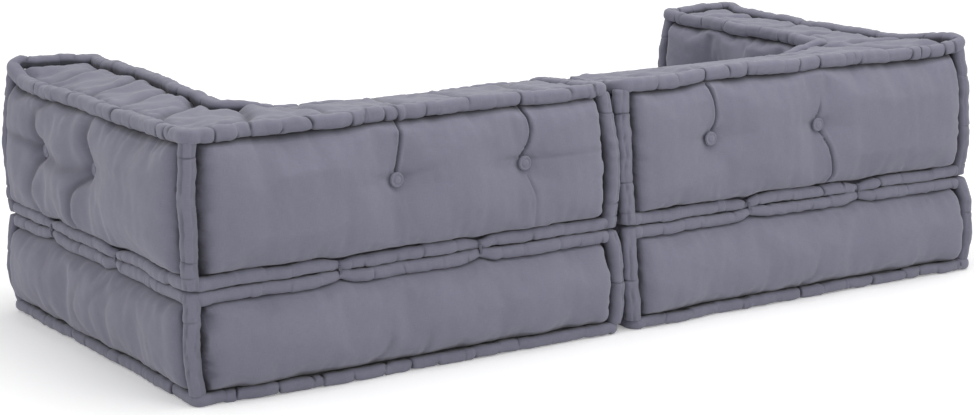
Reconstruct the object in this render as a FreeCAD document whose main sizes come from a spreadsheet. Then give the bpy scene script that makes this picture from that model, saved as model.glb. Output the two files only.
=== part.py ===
import FreeCAD
import Part
import math
import os
import Sketcher

from FreeCAD import Placement, Rotation, Vector

# Two-piece modular floor sofa in millimetres, +Z up, front facing -Y. The origin lies on the floor in the
# middle of the sofa's plan. The left module (a sitter's left) stands at +X, and the right module is its
# mirror image. Each module is a stuffed seat block with an L-shaped back-and-arm block sewn on it. A rolled
# edge is stitched along every edge of both blocks, and twine with a covered button at each end pulls the
# tufts in.

PARTS_FOLDER = "parts"

DIMENSIONS = {
    # Blocks: the plan sizes run to the outside of the rolled edges
    "module_width": 1150,
    "module_depth": 1030,
    "total_height": 600,
    "base_height": 250,
    "arm_thickness": 260,
    "back_depth": 360,
    "back_lean": 65,
    "seam_clearance": 8,
    "touch_gap": 0.4,
    # Stuffing: how far the skins swell and where the panels level out
    "side_bulge": 14,
    "corner_swell": 14,
    "seat_crown": 30,
    "back_crown": 14,
    "foot_inset": 30,
    "cover_thickness": 3,
    "wadding_ease": 0.5,
    "core_margin": 52,
    "core_rise": 27,
    "core_fillet": 14,
    "core_ease": 0.5,
    # Rolled edges, whose seat in a block ends this high above or below the roll's middle on a crowned panel
    "seat_rise": 15,
    "roll_radius": 17,
    "upright_radius": 20,
    "upright_ease": 1.8,
    "roll_turn": 24,
    "sewing_ease": 0.4,
    # Tufts and covered buttons
    "button_radius": 17,
    "button_rise": 9,
    "button_rim": 3,
    "button_room": 3,
    "twine_radius": 1.5,
    "tuft_reach": 92,
    "tuft_flare": 8,
    "seat_tuft_depth": 36,
    "underside_tuft_depth": 14,
    "rear_tuft_depth": 14,
    "back_tuft_depth": 32,
    "arm_tuft_depth": 32,
    # The upper block's tufts sit this far above its middle
    "back_tuft_lift": 14,
    "arm_tuft_lift": 16,
    # Sewn channels
    "channel_radius": 48,
    "channel_depth": 10,
    # Cuts run past what they cut by this much
    "overrun": 20,
}

# Places along the side that carries them
SEAT_TUFT_SHARES = (0.32, 0.68)
BACK_TUFT_SHARES = (0.31, 0.70)
ARM_TUFT_SHARES = (0.36, 0.77)
REAR_TIE_SHARES = (0.33, 0.68)
SIDE_TIE_SHARES = (0.39, 0.77)
# Bow of an edge between its corners, and the steps of the crowns and of a tuft's flare
EDGE_DRAW_SHARE = 0.006
CROWN_INSET_SHARES = (0.12, 0.26)
CROWN_RISE_SHARES = (0.72, 1.0)
DOME_INSET_SHARES = (0.08, 0.22)
SIDE_HEIGHT_SHARES = (0.22, 0.36, 0.5, 0.64, 0.78)
SEAT_STEP_DEGREES = 45
TUFT_BEND_SHARES = (0.28, 0.72)
# A point half way over a button's dome
DOME_SHARE = 0.6

UP = Vector(0, 0, 1)
ACROSS = Vector(1, 0, 0)
REARWARD = Vector(0, 1, 0)

doc = FreeCAD.newDocument("modular_sofa")
sheet = doc.addObject("Spreadsheet::Sheet", "dimensions")
for row, (alias, value) in enumerate(DIMENSIONS.items(), start=1):
    sheet.set(f"A{row}", alias)
    sheet.set(f"B{row}", str(value))
    sheet.setAlias(f"B{row}", alias)
doc.recompute()


def cell(alias):
    """A driving dimension, as the sheet holds it."""
    return float(sheet.get(alias))


WIDTH = cell("module_width")
HEIGHT = cell("total_height")
BASE = cell("base_height")
ARM = cell("arm_thickness")
BACK = cell("back_depth")
SEAM = cell("seam_clearance")
ROLL = cell("roll_radius")
EASE = cell("sewing_ease")
OVERRUN = cell("overrun")
BULGE = cell("side_bulge")
# The rear face leans away from the plan's middle, which half way up the seat block stays at the origin
LEAN_SHIFT = cell("back_lean") * BASE / (4 * HEIGHT)
REAR = cell("module_depth") / 2 + LEAN_SHIFT
FRONT = REAR - cell("module_depth")
ARM_FACE = WIDTH - ARM
BACK_FACE = REAR - BACK
BASE_LOW = ROLL
BASE_HIGH = BASE - ROLL
UPPER_FOOT = BASE + EASE
UPPER_LOW = UPPER_FOOT + ROLL
UPPER_HIGH = HEIGHT - ROLL
UPPER_MIDDLE = (BASE + HEIGHT) / 2


# Plan outlines, clockwise seen from above, with the side along the seam last

def rear(z):
    """The rear face leans towards the seat as it rises."""
    return REAR - cell("back_lean") * z / HEIGHT


def base_corners(z):
    return [(SEAM, rear(z)), (WIDTH, rear(z)), (WIDTH, FRONT), (SEAM, FRONT)]


def upper_corners(z):
    back = [(SEAM, rear(z)), (WIDTH, rear(z))]
    return back + [(WIDTH, FRONT), (ARM_FACE, FRONT), (ARM_FACE, BACK_FACE), (SEAM, BACK_FACE)]


def seat_corners(z):
    return [(SEAM, BACK_FACE), (ARM_FACE, BACK_FACE), (ARM_FACE, FRONT), (SEAM, FRONT)]


def unit(vector):
    return Vector(vector).normalize()


def crossing(centre_a, radius_a, centre_b, radius_b, near):
    """Where two circles of one plan cross, on the side of a given point."""
    apart = centre_b - centre_a
    along = (radius_a ** 2 - radius_b ** 2 + apart.Length ** 2) / (2 * apart.Length)
    across = math.sqrt(radius_a ** 2 - along ** 2)
    foot = centre_a + unit(apart) * along
    side = unit(apart).cross(UP) * across
    return min((foot + side, foot - side), key=lambda point: (point - near).Length)


def set_in(corners, z, insets):
    """The corners of a plan once each side is set in, with the direction of the side after each."""
    count = len(corners)
    points = [Vector(u, v, z) for u, v in corners]
    ways = [unit(points[(i + 1) % count] - points[i]) for i in range(count)]
    normals = [UP.cross(way) for way in ways]
    points = [points[i] - normals[i - 1] * insets[i - 1] - normals[i] * insets[i] for i in range(count)]
    return points, ways, normals


def drawn_bows(corners):
    """Along the rolls each side draws in a little between its corners."""
    count = len(corners)
    return [-EDGE_DRAW_SHARE * math.dist(corners[i], corners[(i + 1) % count]) for i in range(count)]


def edge_run(corners, z):
    """The line that a rolled edge follows: arcs in the order corner, side, corner, side.

    Each side draws in between its corners, and an arc tangent to both sides rounds each corner.
    """
    count = len(corners)
    turn_radius = cell("roll_turn")
    points, ways, normals = set_in(corners, z, [ROLL] * count)
    bows = drawn_bows(corners)
    sides = []
    for i in range(count):
        start, end = points[i], points[(i + 1) % count]
        circle = Part.Arc(start, (start + end) / 2 + normals[i] * bows[i], end).toShape().Curve
        sides.append((circle.Center, circle.Radius, math.copysign(turn_radius, bows[i])))
    turns = []
    for i in range(count):
        outward = math.copysign(1, ways[i].cross(ways[i - 1]).z)
        reaches = [(centre, radius - outward * step) for centre, radius, step in (sides[i - 1], sides[i])]
        centre = crossing(*reaches[0], *reaches[1], points[i])
        touches = [side[0] + unit(centre - side[0]) * side[1] for side in (sides[i - 1], sides[i])]
        outer = centre + unit(points[i] - centre) * turn_radius
        turns.append(Part.Arc(touches[0], outer, touches[1]).toShape())
    edges = []
    for i in range(count):
        start, end = turns[i].lastVertex().Point, turns[(i + 1) % count].firstVertex().Point
        centre = sides[i][0]
        middle = centre + unit((start + end) / 2 - centre) * sides[i][1]
        edges += [turns[i], Part.Arc(start, middle, end).toShape()]
    return edges


def bowed(share):
    """A parabola along a side: nothing at both ends and 1 half way."""
    return 4 * share * (1 - share)


def swell_at(z, low, high):
    """How far a block's swelling has come at a height: none at the level rolls, all half way between."""
    return max(bowed((z - low) / (high - low)), 0)


def side_swells(count):
    """How far each side's ends stand out half way up: the seam side only reaches the seam."""
    return [cell("corner_swell")] * (count - 1) + [SEAM - cell("touch_gap") / 2]


def upright_centres(corners_at, z, low, high):
    """Where the upright rolls stand at a height: on the level rolls' corners, swelling out between them."""
    corners = corners_at(z)
    pull = cell("roll_turn") * (1 - math.sqrt(2) / 2)
    swell = swell_at(z, low, high)
    insets = [ROLL + pull - swell * reach for reach in side_swells(len(corners))]
    return set_in(corners, z, insets)[0]


def is_inner(ways, i):
    """Whether a corner of the plan is the inner corner of the L, which has no upright roll."""
    return ways[i - 1].cross(ways[i]).z > 0


def rounded_turn(point, before, after):
    """Three points of an arc that rounds a corner."""
    reach = cell("roll_turn")
    middle = point + unit(after - before) * reach * (math.sqrt(2) - 1)
    return point - before * reach, middle, point + after * reach


def bitten_turn(point, before, after, centre, radius):
    """Three points of an arc about the upright roll, from one side of its corner to the other."""
    ends = []
    for way in (-before, after):
        along = (centre - point).dot(way)
        off_line = (centre - point - way * along).Length
        ends.append(point + way * (along + math.sqrt(radius ** 2 - off_line ** 2)))
    return ends[0], centre + unit(after - before) * radius, ends[1]


def block_ring(corners, z, insets, bows, centres, seat_radius):
    """One level section of a block: each corner is bitten for its upright roll, or rounded where it has none."""
    points, ways, normals = set_in(corners, z, insets)
    count = len(points)
    lengths = [(points[(i + 1) % count] - points[i]).Length for i in range(count)]
    turns = []
    for i in range(count):
        if centres is None or is_inner(ways, i):
            ends = rounded_turn(points[i], ways[i - 1], ways[i])
        else:
            ends = bitten_turn(points[i], ways[i - 1], ways[i], centres[i], seat_radius)
        start_share = (ends[0] - points[i]).Length / lengths[i - 1]
        end_share = (ends[2] - points[i]).Length / lengths[i]
        start = ends[0] + normals[i - 1] * bows[i - 1] * bowed(start_share)
        end = ends[2] + normals[i] * bows[i] * bowed(end_share)
        turns.append((start, ends[1], end))
    edges = []
    for i in range(count):
        start, end = turns[i][2], turns[(i + 1) % count][0]
        middle = (points[i] + points[(i + 1) % count]) / 2 + normals[i] * bows[i]
        edges += [Part.Arc(*turns[i]).toShape(), Part.Arc(start, middle, end).toShape()]
    return Part.Wire(edges)


def seat_reach(grow):
    """The corners of a level roll's seat lie outside its round, which the flats between them then clear."""
    return (ROLL + EASE + grow) / math.cos(math.radians(SEAT_STEP_DEGREES / 2))


def panel_angle(rise, grow):
    """Where a level roll's seat meets a panel that lies this far from the roll's middle."""
    return math.degrees(math.asin((rise - grow) / seat_reach(grow)))


def angle_steps(start, end):
    """Even steps round a level roll's seat."""
    count = math.ceil(abs(end - start) / SEAT_STEP_DEGREES)
    return [start + (end - start) * step / count for step in range(count + 1)]


def seat_rings(corners_at, roll_z, angles, grow, low, high):
    """The sections round a level roll's seat, at angles about the roll: 0 points into the block, 90 up."""
    corners = corners_at(roll_z)
    bite = cell("upright_radius") + cell("upright_ease") + grow
    rings = []
    for angle in angles:
        z = roll_z + seat_reach(grow) * math.sin(math.radians(angle))
        insets = [ROLL + seat_reach(grow) * math.cos(math.radians(angle))] * len(corners)
        centres = upright_centres(corners_at, z, low, high)
        rings.append(block_ring(corners, z, insets, drawn_bows(corners), centres, bite))
    return rings


def side_rings(corners_at, grow, low, high):
    """The swelling sides between two level rolls."""
    bite = cell("upright_radius") + cell("upright_ease") + grow
    rings = []
    for share in SIDE_HEIGHT_SHARES:
        z = low + (high - low) * share
        corners = corners_at(z)
        swells, swell = side_swells(len(corners)), swell_at(z, low, high)
        bulges = [BULGE] * (len(corners) - 1) + swells[-1:]
        insets = [ROLL + grow - swell * reach for reach in swells]
        bows = []
        for draw, reach, bulge in zip(drawn_bows(corners), swells, bulges):
            bows.append(draw + swell * (ROLL - reach + bulge - draw))
        centres = upright_centres(corners_at, z, low, high)
        rings.append(block_ring(corners, z, insets, bows, centres, bite))
    return rings


def crown_rings(corners_at, foot_z, foot_inset, spread, rise, inset_shares):
    """The sections of a crown, which levels out in steps towards the middle of its panel."""
    corners = corners_at(foot_z)
    steps = [(foot_z, foot_inset)]
    for rise_share, inset_share in zip(CROWN_RISE_SHARES, inset_shares):
        steps.append((foot_z + rise * rise_share, foot_inset + spread * inset_share))
    rings = []
    for z, inset in steps:
        rings.append(block_ring(corners, z, [inset] * len(corners), drawn_bows(corners), None, 0))
    return rings


# Rolled edges

def tube(path, radius):
    """A round tube along a run of tangent arcs and lines."""
    start = path[0].firstVertex().Point
    way = path[0].tangentAt(path[0].FirstParameter)
    section = Part.Wire(Part.Circle(start, way, radius).toShape())
    return Part.Wire(path).makePipeShell([section], True, True)


def halves(arc):
    """An arc cut at its middle."""
    low, high = arc.FirstParameter, arc.LastParameter
    places = [arc.valueAt(low + (high - low) * step / 4) for step in range(5)]
    return Part.Arc(*places[:3]).toShape(), Part.Arc(*places[2:]).toShape()


def side_rolls(corners_at, z, radius):
    """The rolled edge round a panel, one tube per side, which meet at the middle of each corner."""
    edges = edge_run(corners_at(z), z)
    turns, sides = [halves(edge) for edge in edges[0::2]], edges[1::2]
    ends = turns[1:] + turns[:1]
    return [tube([turn[1], side, end[0]], radius) for turn, side, end in zip(turns, sides, ends)]


def upright_rolls(corners_at, low, high):
    """The rolled edge up each outer corner, bowed out with the block half way up."""
    levels = [upright_centres(corners_at, z, low, high) for z in (low, (low + high) / 2, high)]
    ways = set_in(corners_at(low), low, [0] * len(levels[0]))[1]
    columns = [points for i, points in enumerate(zip(*levels)) if not is_inner(ways, i)]
    return [tube([Part.Arc(*points).toShape()], cell("upright_radius")) for points in columns]


def ring_rolls(corners_at, z, radius):
    """The same rolled edge as one closed tube, to cut its seat."""
    return tube(edge_run(corners_at(z), z), radius)


# Tufts

def share_between(low, high, shares):
    return [low + (high - low) * share for share in shares]


def tuft_feet():
    """The seats of both buttons of every tuft: seat and underside, rear and front, outer and inner side."""
    seat_z = BASE + cell("seat_crown") - cell("seat_tuft_depth")
    underside_z = cell("underside_tuft_depth")
    back_z = UPPER_MIDDLE + cell("back_tuft_lift")
    arm_z = UPPER_MIDDLE + cell("arm_tuft_lift")
    rear_v = rear(back_z) + BULGE - cell("rear_tuft_depth")
    front_v = BACK_FACE - BULGE + cell("back_tuft_depth")
    outer_u = WIDTH + BULGE - cell("arm_tuft_depth")
    inner_u = ARM_FACE - BULGE + cell("arm_tuft_depth")
    seat_places = [
        (u, v)
        for v in share_between(FRONT, BACK_FACE, SEAT_TUFT_SHARES)
        for u in share_between(0, ARM_FACE, SEAT_TUFT_SHARES)
    ]
    back_places = share_between(0, ARM_FACE, BACK_TUFT_SHARES)
    arm_places = share_between(FRONT, BACK_FACE, ARM_TUFT_SHARES)
    return {
        "seat": [(Vector(u, v, seat_z), Vector(u, v, underside_z)) for u, v in seat_places],
        "back": [(Vector(u, rear_v, back_z), Vector(u, front_v, back_z)) for u in back_places],
        "arm": [(Vector(outer_u, v, arm_z), Vector(inner_u, v, arm_z)) for v in arm_places],
    }


FEET = tuft_feet()
TUFT_DEPTHS = {
    "seat": (cell("seat_tuft_depth"), cell("underside_tuft_depth")),
    "back": (cell("rear_tuft_depth"), cell("back_tuft_depth")),
    "arm": (cell("arm_tuft_depth"), cell("arm_tuft_depth")),
}


def tuft_cutter(foot, way, depth, grow):
    """What a tuft takes out of a block: a flat seat for the button, which flares out like a trumpet."""
    seat = cell("button_radius") + cell("button_room") + grow
    reach = cell("tuft_reach") + grow
    top = depth + cell("tuft_flare") + grow
    across, up = TUFT_BEND_SHARES
    axis_foot, seat_rim, mouth = Vector(), Vector(seat, 0, 0), Vector(reach, 0, top)
    bend = Vector(seat + (reach - seat) * across, 0, top * up)
    mouth_rim, axis_top = Vector(reach, 0, top + OVERRUN), Vector(0, 0, top + OVERRUN)
    profile = Part.Wire([
        Part.LineSegment(axis_foot, seat_rim).toShape(),
        Part.Arc(seat_rim, bend, mouth).toShape(),
        Part.LineSegment(mouth, mouth_rim).toShape(),
        Part.LineSegment(mouth_rim, axis_top).toShape(),
        Part.LineSegment(axis_top, axis_foot).toShape(),
    ])
    cutter = Part.Face(profile).revolve(Vector(), UP, 360)
    cutter.Placement = Placement(foot - way * grow, Rotation(UP, way))
    return cutter


def tuft_cutters(group, grow):
    cutters = []
    for first, second in FEET[group]:
        way = unit(first - second)
        cutters.append(tuft_cutter(first, way, TUFT_DEPTHS[group][0], grow))
        cutters.append(tuft_cutter(second, -way, TUFT_DEPTHS[group][1], grow))
    return cutters


def needle_holes(group):
    """The holes that the twine passes through, open past both buttons' seats."""
    holes = []
    for first, second in FEET[group]:
        way = unit(first - second)
        length = (first - second).Length + 2 * OVERRUN
        holes.append(Part.makeCylinder(cell("twine_radius") + EASE, length, second - way * OVERRUN, way))
    return holes


def upright_channels(grow):
    """Sewn channels up both faces of the arm, in line with its tufts."""
    radius = cell("channel_radius")
    stand = BULGE + radius - cell("channel_depth")
    places = [(face, first.y) for first, _ in FEET["arm"] for face in (WIDTH + stand, ARM_FACE - stand)]
    return [Part.makeCylinder(radius + grow, HEIGHT - BASE, Vector(u, v, UPPER_LOW)) for u, v in places]


def top_channels(grow):
    """Sewn channels across the top of the arm and of the back, in line with their tufts."""
    radius = cell("channel_radius")
    axis_z = HEIGHT + cell("back_crown") + radius - cell("channel_depth")
    channels = []
    for first, _ in FEET["arm"]:
        start = Vector(ARM_FACE - OVERRUN, first.y, axis_z)
        channels.append(Part.makeCylinder(radius + grow, ARM + 2 * OVERRUN, start, ACROSS))
    for first, _ in FEET["back"]:
        start = Vector(first.x, BACK_FACE - OVERRUN, axis_z)
        channels.append(Part.makeCylinder(radius + grow, BACK + 2 * OVERRUN, start, REARWARD))
    return channels


# Waist ties: twine stitched round the seat block's upper roll and the upper block's lower roll together

def place_on(edge, share):
    at = edge.FirstParameter + (edge.LastParameter - edge.FirstParameter) * share
    return edge.valueAt(at), edge.tangentAt(at)


def tie_loops(side, shares, radius):
    """Closed loops of twine round both waist rolls, at shares of one side of the waist line."""
    low_edge = edge_run(base_corners(BASE_HIGH), BASE_HIGH)[2 * side + 1]
    high_edge = edge_run(upper_corners(UPPER_LOW), UPPER_LOW)[2 * side + 1]
    reach = ROLL + EASE + cell("twine_radius")
    loops = []
    for share in shares:
        low, along = place_on(low_edge, share)
        high = place_on(high_edge, share)[0]
        rise = unit(high - low)
        way = unit(along.cross(rise))
        path = []
        for hub, other_hub, turn in ((high, low, reach), (low, high, -reach)):
            out, up = way * turn, rise * turn
            path.append(Part.Arc(hub + out, hub + unit(out + up) * reach, hub + up).toShape())
            path.append(Part.Arc(hub + up, hub + unit(up - out) * reach, hub - out).toShape())
            path.append(Part.LineSegment(hub - out, other_hub - out).toShape())
        loops.append(tube(path, radius))
    return loops


REAR_SIDE, OUTER_SIDE = 0, 1
TIE_SIDES = ((REAR_SIDE, REAR_TIE_SHARES), (OUTER_SIDE, SIDE_TIE_SHARES))


def tie_holes():
    radius = cell("twine_radius") + EASE
    return [loop for side, shares in TIE_SIDES for loop in tie_loops(side, shares, radius)]


# Stuffed blocks: each form is the outside of its block, shrunk all round by the amount called grow

def main_solid(shape):
    """A cut can leave a loose chip behind; the piece itself is the largest solid."""
    return max(shape.Solids, key=lambda solid: solid.Volume)


def base_form(grow):
    """The seat block: flat underside, swelling sides and a crowned seat panel with four tufts."""
    panel = panel_angle(ROLL, grow)
    ends = (BASE_LOW, BASE_HIGH)
    rings = seat_rings(base_corners, BASE_LOW, angle_steps(-panel, 90), grow, *ends)
    rings += side_rings(base_corners, grow, *ends)
    rings += seat_rings(base_corners, BASE_HIGH, angle_steps(-90, panel), grow, *ends)
    block = Part.makeLoft(rings, True, True)
    top, foot_inset = BASE - grow, ROLL + grow + cell("foot_inset")
    spread = min(ARM_FACE, BACK_FACE - FRONT)
    dome_rings = crown_rings(seat_corners, top, foot_inset, spread, cell("seat_crown"), DOME_INSET_SHARES)
    solid = block.fuse(Part.makeLoft(dome_rings, True, False))
    return main_solid(solid.cut(tuft_cutters("seat", grow)))


def upper_form(grow):
    """The back-and-arm block: flat underside, swelling sides, crowned top, tufts and sewn channels."""
    ends = (UPPER_LOW, UPPER_HIGH)
    rings = seat_rings(upper_corners, UPPER_LOW, angle_steps(-panel_angle(ROLL, grow), 90), grow, *ends)
    rings += side_rings(upper_corners, grow, *ends)
    top_angle = panel_angle(cell("seat_rise"), grow)
    rings += seat_rings(upper_corners, UPPER_HIGH, angle_steps(-90, top_angle), grow, *ends)
    rise = ROLL + cell("back_crown") - grow
    rings += crown_rings(upper_corners, UPPER_HIGH, ROLL + grow, ARM, rise, CROWN_INSET_SHARES)[1:]
    solid = Part.makeLoft(rings, True, True)
    tufts = tuft_cutters("back", grow) + tuft_cutters("arm", grow)
    for cutters in (tufts, upright_channels(grow), top_channels(grow)):
        solid = main_solid(solid.cut(cutters))
    return solid


# Document objects

nodes = []


def keep(piece, label):
    """Marks an object as a sub-part of the left module."""
    piece.Label = f"left_{label}"
    nodes.append(piece)
    return piece


def shaped(name, shape):
    """An object for a shape that no feature of the document makes by itself."""
    piece = doc.addObject("Part::Feature", name)
    piece.Shape = shape
    return piece


def cut_away(name, base, tool):
    piece = doc.addObject("Part::Cut", name)
    piece.Base = base
    piece.Tool = tool
    return piece


def gathered(name, pieces):
    piece = doc.addObject("Part::Compound", name)
    piece.Links = pieces
    return piece


def body_with_sketch(name, plane_role):
    body = doc.addObject("PartDesign::Body", name)
    sketch = add_sketch(body, f"{name}_profile", plane_role)
    return body, sketch


def add_sketch(body, name, plane_role):
    plane = next(feature for feature in body.Origin.OriginFeatures if feature.Role == plane_role)
    sketch = body.newObject("Sketcher::SketchObject", name)
    sketch.AttachmentSupport = [(plane, "")]
    sketch.MapMode = "FlatFace"
    return sketch


def bind(sketch, kind, places, expression, start):
    """Adds a driving constraint, whose first value is a guess and whose true value comes from the sheet."""
    index = sketch.addConstraint(Sketcher.Constraint(kind, *places, start))
    sketch.setExpression(f"Constraints[{index}]", expression)


def foam_core(name, spans, ease):
    """A rounded block of foam, or with an ease the hollow that it fills.

    The spans hold expressions of its two ends along each axis.
    """
    body, sketch = body_with_sketch(name, "XY_Plane")
    slack = f"dimensions.core_ease * {ease}"
    lows = [f"({low}) - {slack}" for low, _ in spans]
    highs = [f"({high}) + {slack}" for _, high in spans]
    # A first rectangle a unit across, which the bound constraints then stretch to its real place
    points = [Vector(u, v, 0) for u, v in ((1, 1), (2, 1), (2, 2), (1, 2))]
    lines = [sketch.addGeometry(Part.LineSegment(points[i], points[(i + 1) % 4])) for i in range(4)]
    for i in range(4):
        sketch.addConstraint(Sketcher.Constraint("Coincident", lines[i], 2, lines[(i + 1) % 4], 1))
        sketch.addConstraint(Sketcher.Constraint("Vertical" if i % 2 else "Horizontal", lines[i]))
    bind(sketch, "DistanceX", (-1, 1, lines[0], 1), lows[0], 1)
    bind(sketch, "DistanceX", (-1, 1, lines[0], 2), highs[0], 2)
    bind(sketch, "DistanceY", (-1, 1, lines[0], 1), lows[1], 1)
    bind(sketch, "DistanceY", (-1, 1, lines[2], 1), highs[1], 2)
    sketch.setExpression("AttachmentOffset.Base.z", lows[2])
    pad = body.newObject("PartDesign::Pad", f"{name}_pad")
    pad.Profile = sketch
    pad.setExpression("Length", f"({highs[2]}) - ({lows[2]})")
    doc.recompute()
    fillet = body.newObject("PartDesign::Fillet", f"{name}_rounding")
    fillet.Base = (pad, [f"Edge{i + 1}" for i in range(len(pad.Shape.Edges))])
    fillet.setExpression("Radius", "dimensions.core_fillet")
    doc.recompute()
    return body


def needle_pocket(body, name, plane_role, centres, reversed_cut):
    """Bores a foam core for the twine, at the places of its tufts in the plane of the sketch."""
    solid_before = body.Shape.Volume
    sketch = add_sketch(body, f"{name}_places", plane_role)
    for across, up in centres:
        circle = sketch.addGeometry(Part.Circle(Vector(1, 1, 0), UP, 1))
        bind(sketch, "Radius", (circle,), "dimensions.twine_radius + dimensions.sewing_ease", 1)
        bind(sketch, "DistanceX", (-1, 1, circle, 3), across, 1)
        bind(sketch, "DistanceY", (-1, 1, circle, 3), up, 1)
    pocket = body.newObject("PartDesign::Pocket", name)
    pocket.Profile = sketch
    pocket.Type = "ThroughAll"
    pocket.Reversed = reversed_cut
    doc.recompute()
    if body.Shape.Volume >= solid_before:
        raise RuntimeError(f"{name} cuts nothing")


def covered_button(name, foot, way):
    """A low dome on a flat back, which sits on the foot and points its dome along the way."""
    body, sketch = body_with_sketch(name, "XZ_Plane")
    radius, rise, rim = cell("button_radius"), cell("button_rise"), cell("button_rim")
    middle = Vector(radius * DOME_SHARE, rim + (rise - rim) * DOME_SHARE, 0)
    back = sketch.addGeometry(Part.LineSegment(Vector(), Vector(radius, 0, 0)))
    side = sketch.addGeometry(Part.LineSegment(Vector(radius, 0, 0), Vector(radius, rim, 0)))
    dome = sketch.addGeometry(Part.Arc(Vector(radius, rim, 0), middle, Vector(0, rise, 0)))
    axis = sketch.addGeometry(Part.LineSegment(Vector(0, rise, 0), Vector()))
    sketch.addConstraint(Sketcher.Constraint("Coincident", back, 1, -1, 1))
    sketch.addConstraint(Sketcher.Constraint("Coincident", back, 2, side, 1))
    sketch.addConstraint(Sketcher.Constraint("Coincident", side, 2, dome, 1))
    sketch.addConstraint(Sketcher.Constraint("Coincident", dome, 2, axis, 1))
    sketch.addConstraint(Sketcher.Constraint("Coincident", axis, 2, -1, 1))
    sketch.addConstraint(Sketcher.Constraint("Horizontal", back))
    sketch.addConstraint(Sketcher.Constraint("Vertical", side))
    sketch.addConstraint(Sketcher.Constraint("Vertical", axis))
    sketch.addConstraint(Sketcher.Constraint("PointOnObject", dome, 3, -2))
    bind(sketch, "DistanceX", (back, 1, back, 2), "dimensions.button_radius", radius)
    bind(sketch, "DistanceY", (side, 1, side, 2), "dimensions.button_rim", rim)
    bind(sketch, "DistanceY", (axis, 2, axis, 1), "dimensions.button_rise", rise)
    turn = body.newObject("PartDesign::Revolution", f"{name}_turn")
    turn.Profile = sketch
    turn.ReferenceAxis = (sketch, ["V_Axis"])
    turn.Angle = 360
    body.Placement = Placement(foot, Rotation(UP, way))
    return body


def twine(name, first, second):
    piece = doc.addObject("Part::Cylinder", name)
    piece.setExpression("Radius", "dimensions.twine_radius")
    piece.Height = (first - second).Length
    piece.Placement = Placement(second, Rotation(UP, unit(first - second)))
    return piece


def trimmed_uprights(corners_at, low, high):
    """The upright rolls end in a saddle on the level rolls."""
    seats = [ring_rolls(corners_at, z, ROLL + EASE) for z in (low, high)]
    return [main_solid(roll.cut(seats)) for roll in upright_rolls(corners_at, low, high)]


# Expressions that the cores share
LEANED = "dimensions.back_lean * dimensions.base_height / (4 * dimensions.total_height)"
REAR_LINE = f"dimensions.module_depth / 2 + {LEANED}"
SEAM_SIDE = "dimensions.seam_clearance + dimensions.core_margin"
OUTER_END = "dimensions.module_width - dimensions.core_margin"
ARM_START = "dimensions.module_width - dimensions.arm_thickness + dimensions.core_margin"
FRONT_END = f"{REAR_LINE} - dimensions.module_depth + dimensions.core_margin"
BACK_START = f"{REAR_LINE} - dimensions.back_depth + dimensions.core_margin"
REAR_END = f"{REAR_LINE} - dimensions.back_lean - dimensions.core_margin"
BASE_SPAN = ("dimensions.core_rise", "dimensions.base_height - dimensions.core_rise")
UPPER_START = "dimensions.base_height + dimensions.core_rise"
UPPER_SPAN = (UPPER_START, "dimensions.total_height - dimensions.core_rise")
ARM_END = f"{BACK_START} - 2 * dimensions.core_ease"
CORE_SPANS = {
    "base_core": ((SEAM_SIDE, OUTER_END), (FRONT_END, REAR_END), BASE_SPAN),
    "back_core": ((SEAM_SIDE, OUTER_END), (BACK_START, REAR_END), UPPER_SPAN),
    "arm_core": ((ARM_START, OUTER_END), (FRONT_END, ARM_END), UPPER_SPAN),
}
NEEDLE_PLACES = {
    "base_core": ("XY_Plane", [(str(first.x), str(first.y)) for first, _ in FEET["seat"]], True),
    "back_core": ("XZ_Plane", [(str(first.x), str(first.z)) for first, _ in FEET["back"]], False),
    "arm_core": ("YZ_Plane", [(str(first.y), str(first.z)) for first, _ in FEET["arm"]], True),
}


def build_cores():
    """The foam cores, and their hollows in the wadding."""
    hollows = {}
    for label, spans in CORE_SPANS.items():
        hollows[label] = foam_core(f"{label}_hollow", spans, 1)
        core = foam_core(label, spans, 0)
        role, centres, reversed_cut = NEEDLE_PLACES[label]
        needle_pocket(core, f"{label}_needle_holes", role, centres, reversed_cut)
        keep(core, label)
    return hollows


def build_block(block, form, tuft_groups, corners_at, low, high, hollow):
    """One stuffed block: its cover, its wadding round the cores and its rolled edges."""
    cover = cell("cover_thickness")
    outside = shaped(f"{block}_outside", form(0))
    inside = shaped(f"{block}_inside", form(cover))
    filling = shaped(f"{block}_filling", form(cover + cell("wadding_ease")))
    needles = [hole for group in tuft_groups for hole in needle_holes(group)]
    holes = shaped(f"{block}_stitch_holes", Part.makeCompound(needles + tie_holes()))
    skin = cut_away(f"{block}_skin", outside, inside)
    stuffing = cut_away(f"{block}_stuffing", filling, hollow)
    keep(cut_away(f"{block}_cover", skin, holes), f"{block}_cover")
    keep(cut_away(f"{block}_wadding", stuffing, holes), f"{block}_wadding")
    for level, z in (("bottom", low), ("top", high)):
        name = f"{block}_{level}_roll"
        keep(shaped(name, Part.makeCompound(side_rolls(corners_at, z, ROLL))), name)
    name = f"{block}_corner_rolls"
    keep(shaped(name, Part.makeCompound(trimmed_uprights(corners_at, low, high))), name)


def build_tufts():
    """Buttons and twine: those of the seat in groups of four, the others one by one."""
    pairs = {"seat": ("seat", "underside"), "back": ("rear", "back"), "arm": ("arm_outer", "arm_inner")}
    for group, (first_side, second_side) in pairs.items():
        buttons = {first_side: [], second_side: []}
        for number, (first, second) in enumerate(FEET[group], start=1):
            way = unit(first - second)
            buttons[first_side].append(covered_button(f"{first_side}_button_{number}", first, way))
            buttons[second_side].append(covered_button(f"{second_side}_button_{number}", second, -way))
        for side, bodies in buttons.items():
            if group == "seat":
                keep(gathered(f"{side}_buttons", bodies), f"{side}_buttons")
                continue
            for number, body in enumerate(bodies, start=1):
                keep(body, f"{side}_button_{number}")
        lengths = [twine(f"{group}_twine_{i}", *feet) for i, feet in enumerate(FEET[group], start=1)]
        keep(gathered(f"{group}_twine", lengths), f"{group}_twine")


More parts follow.
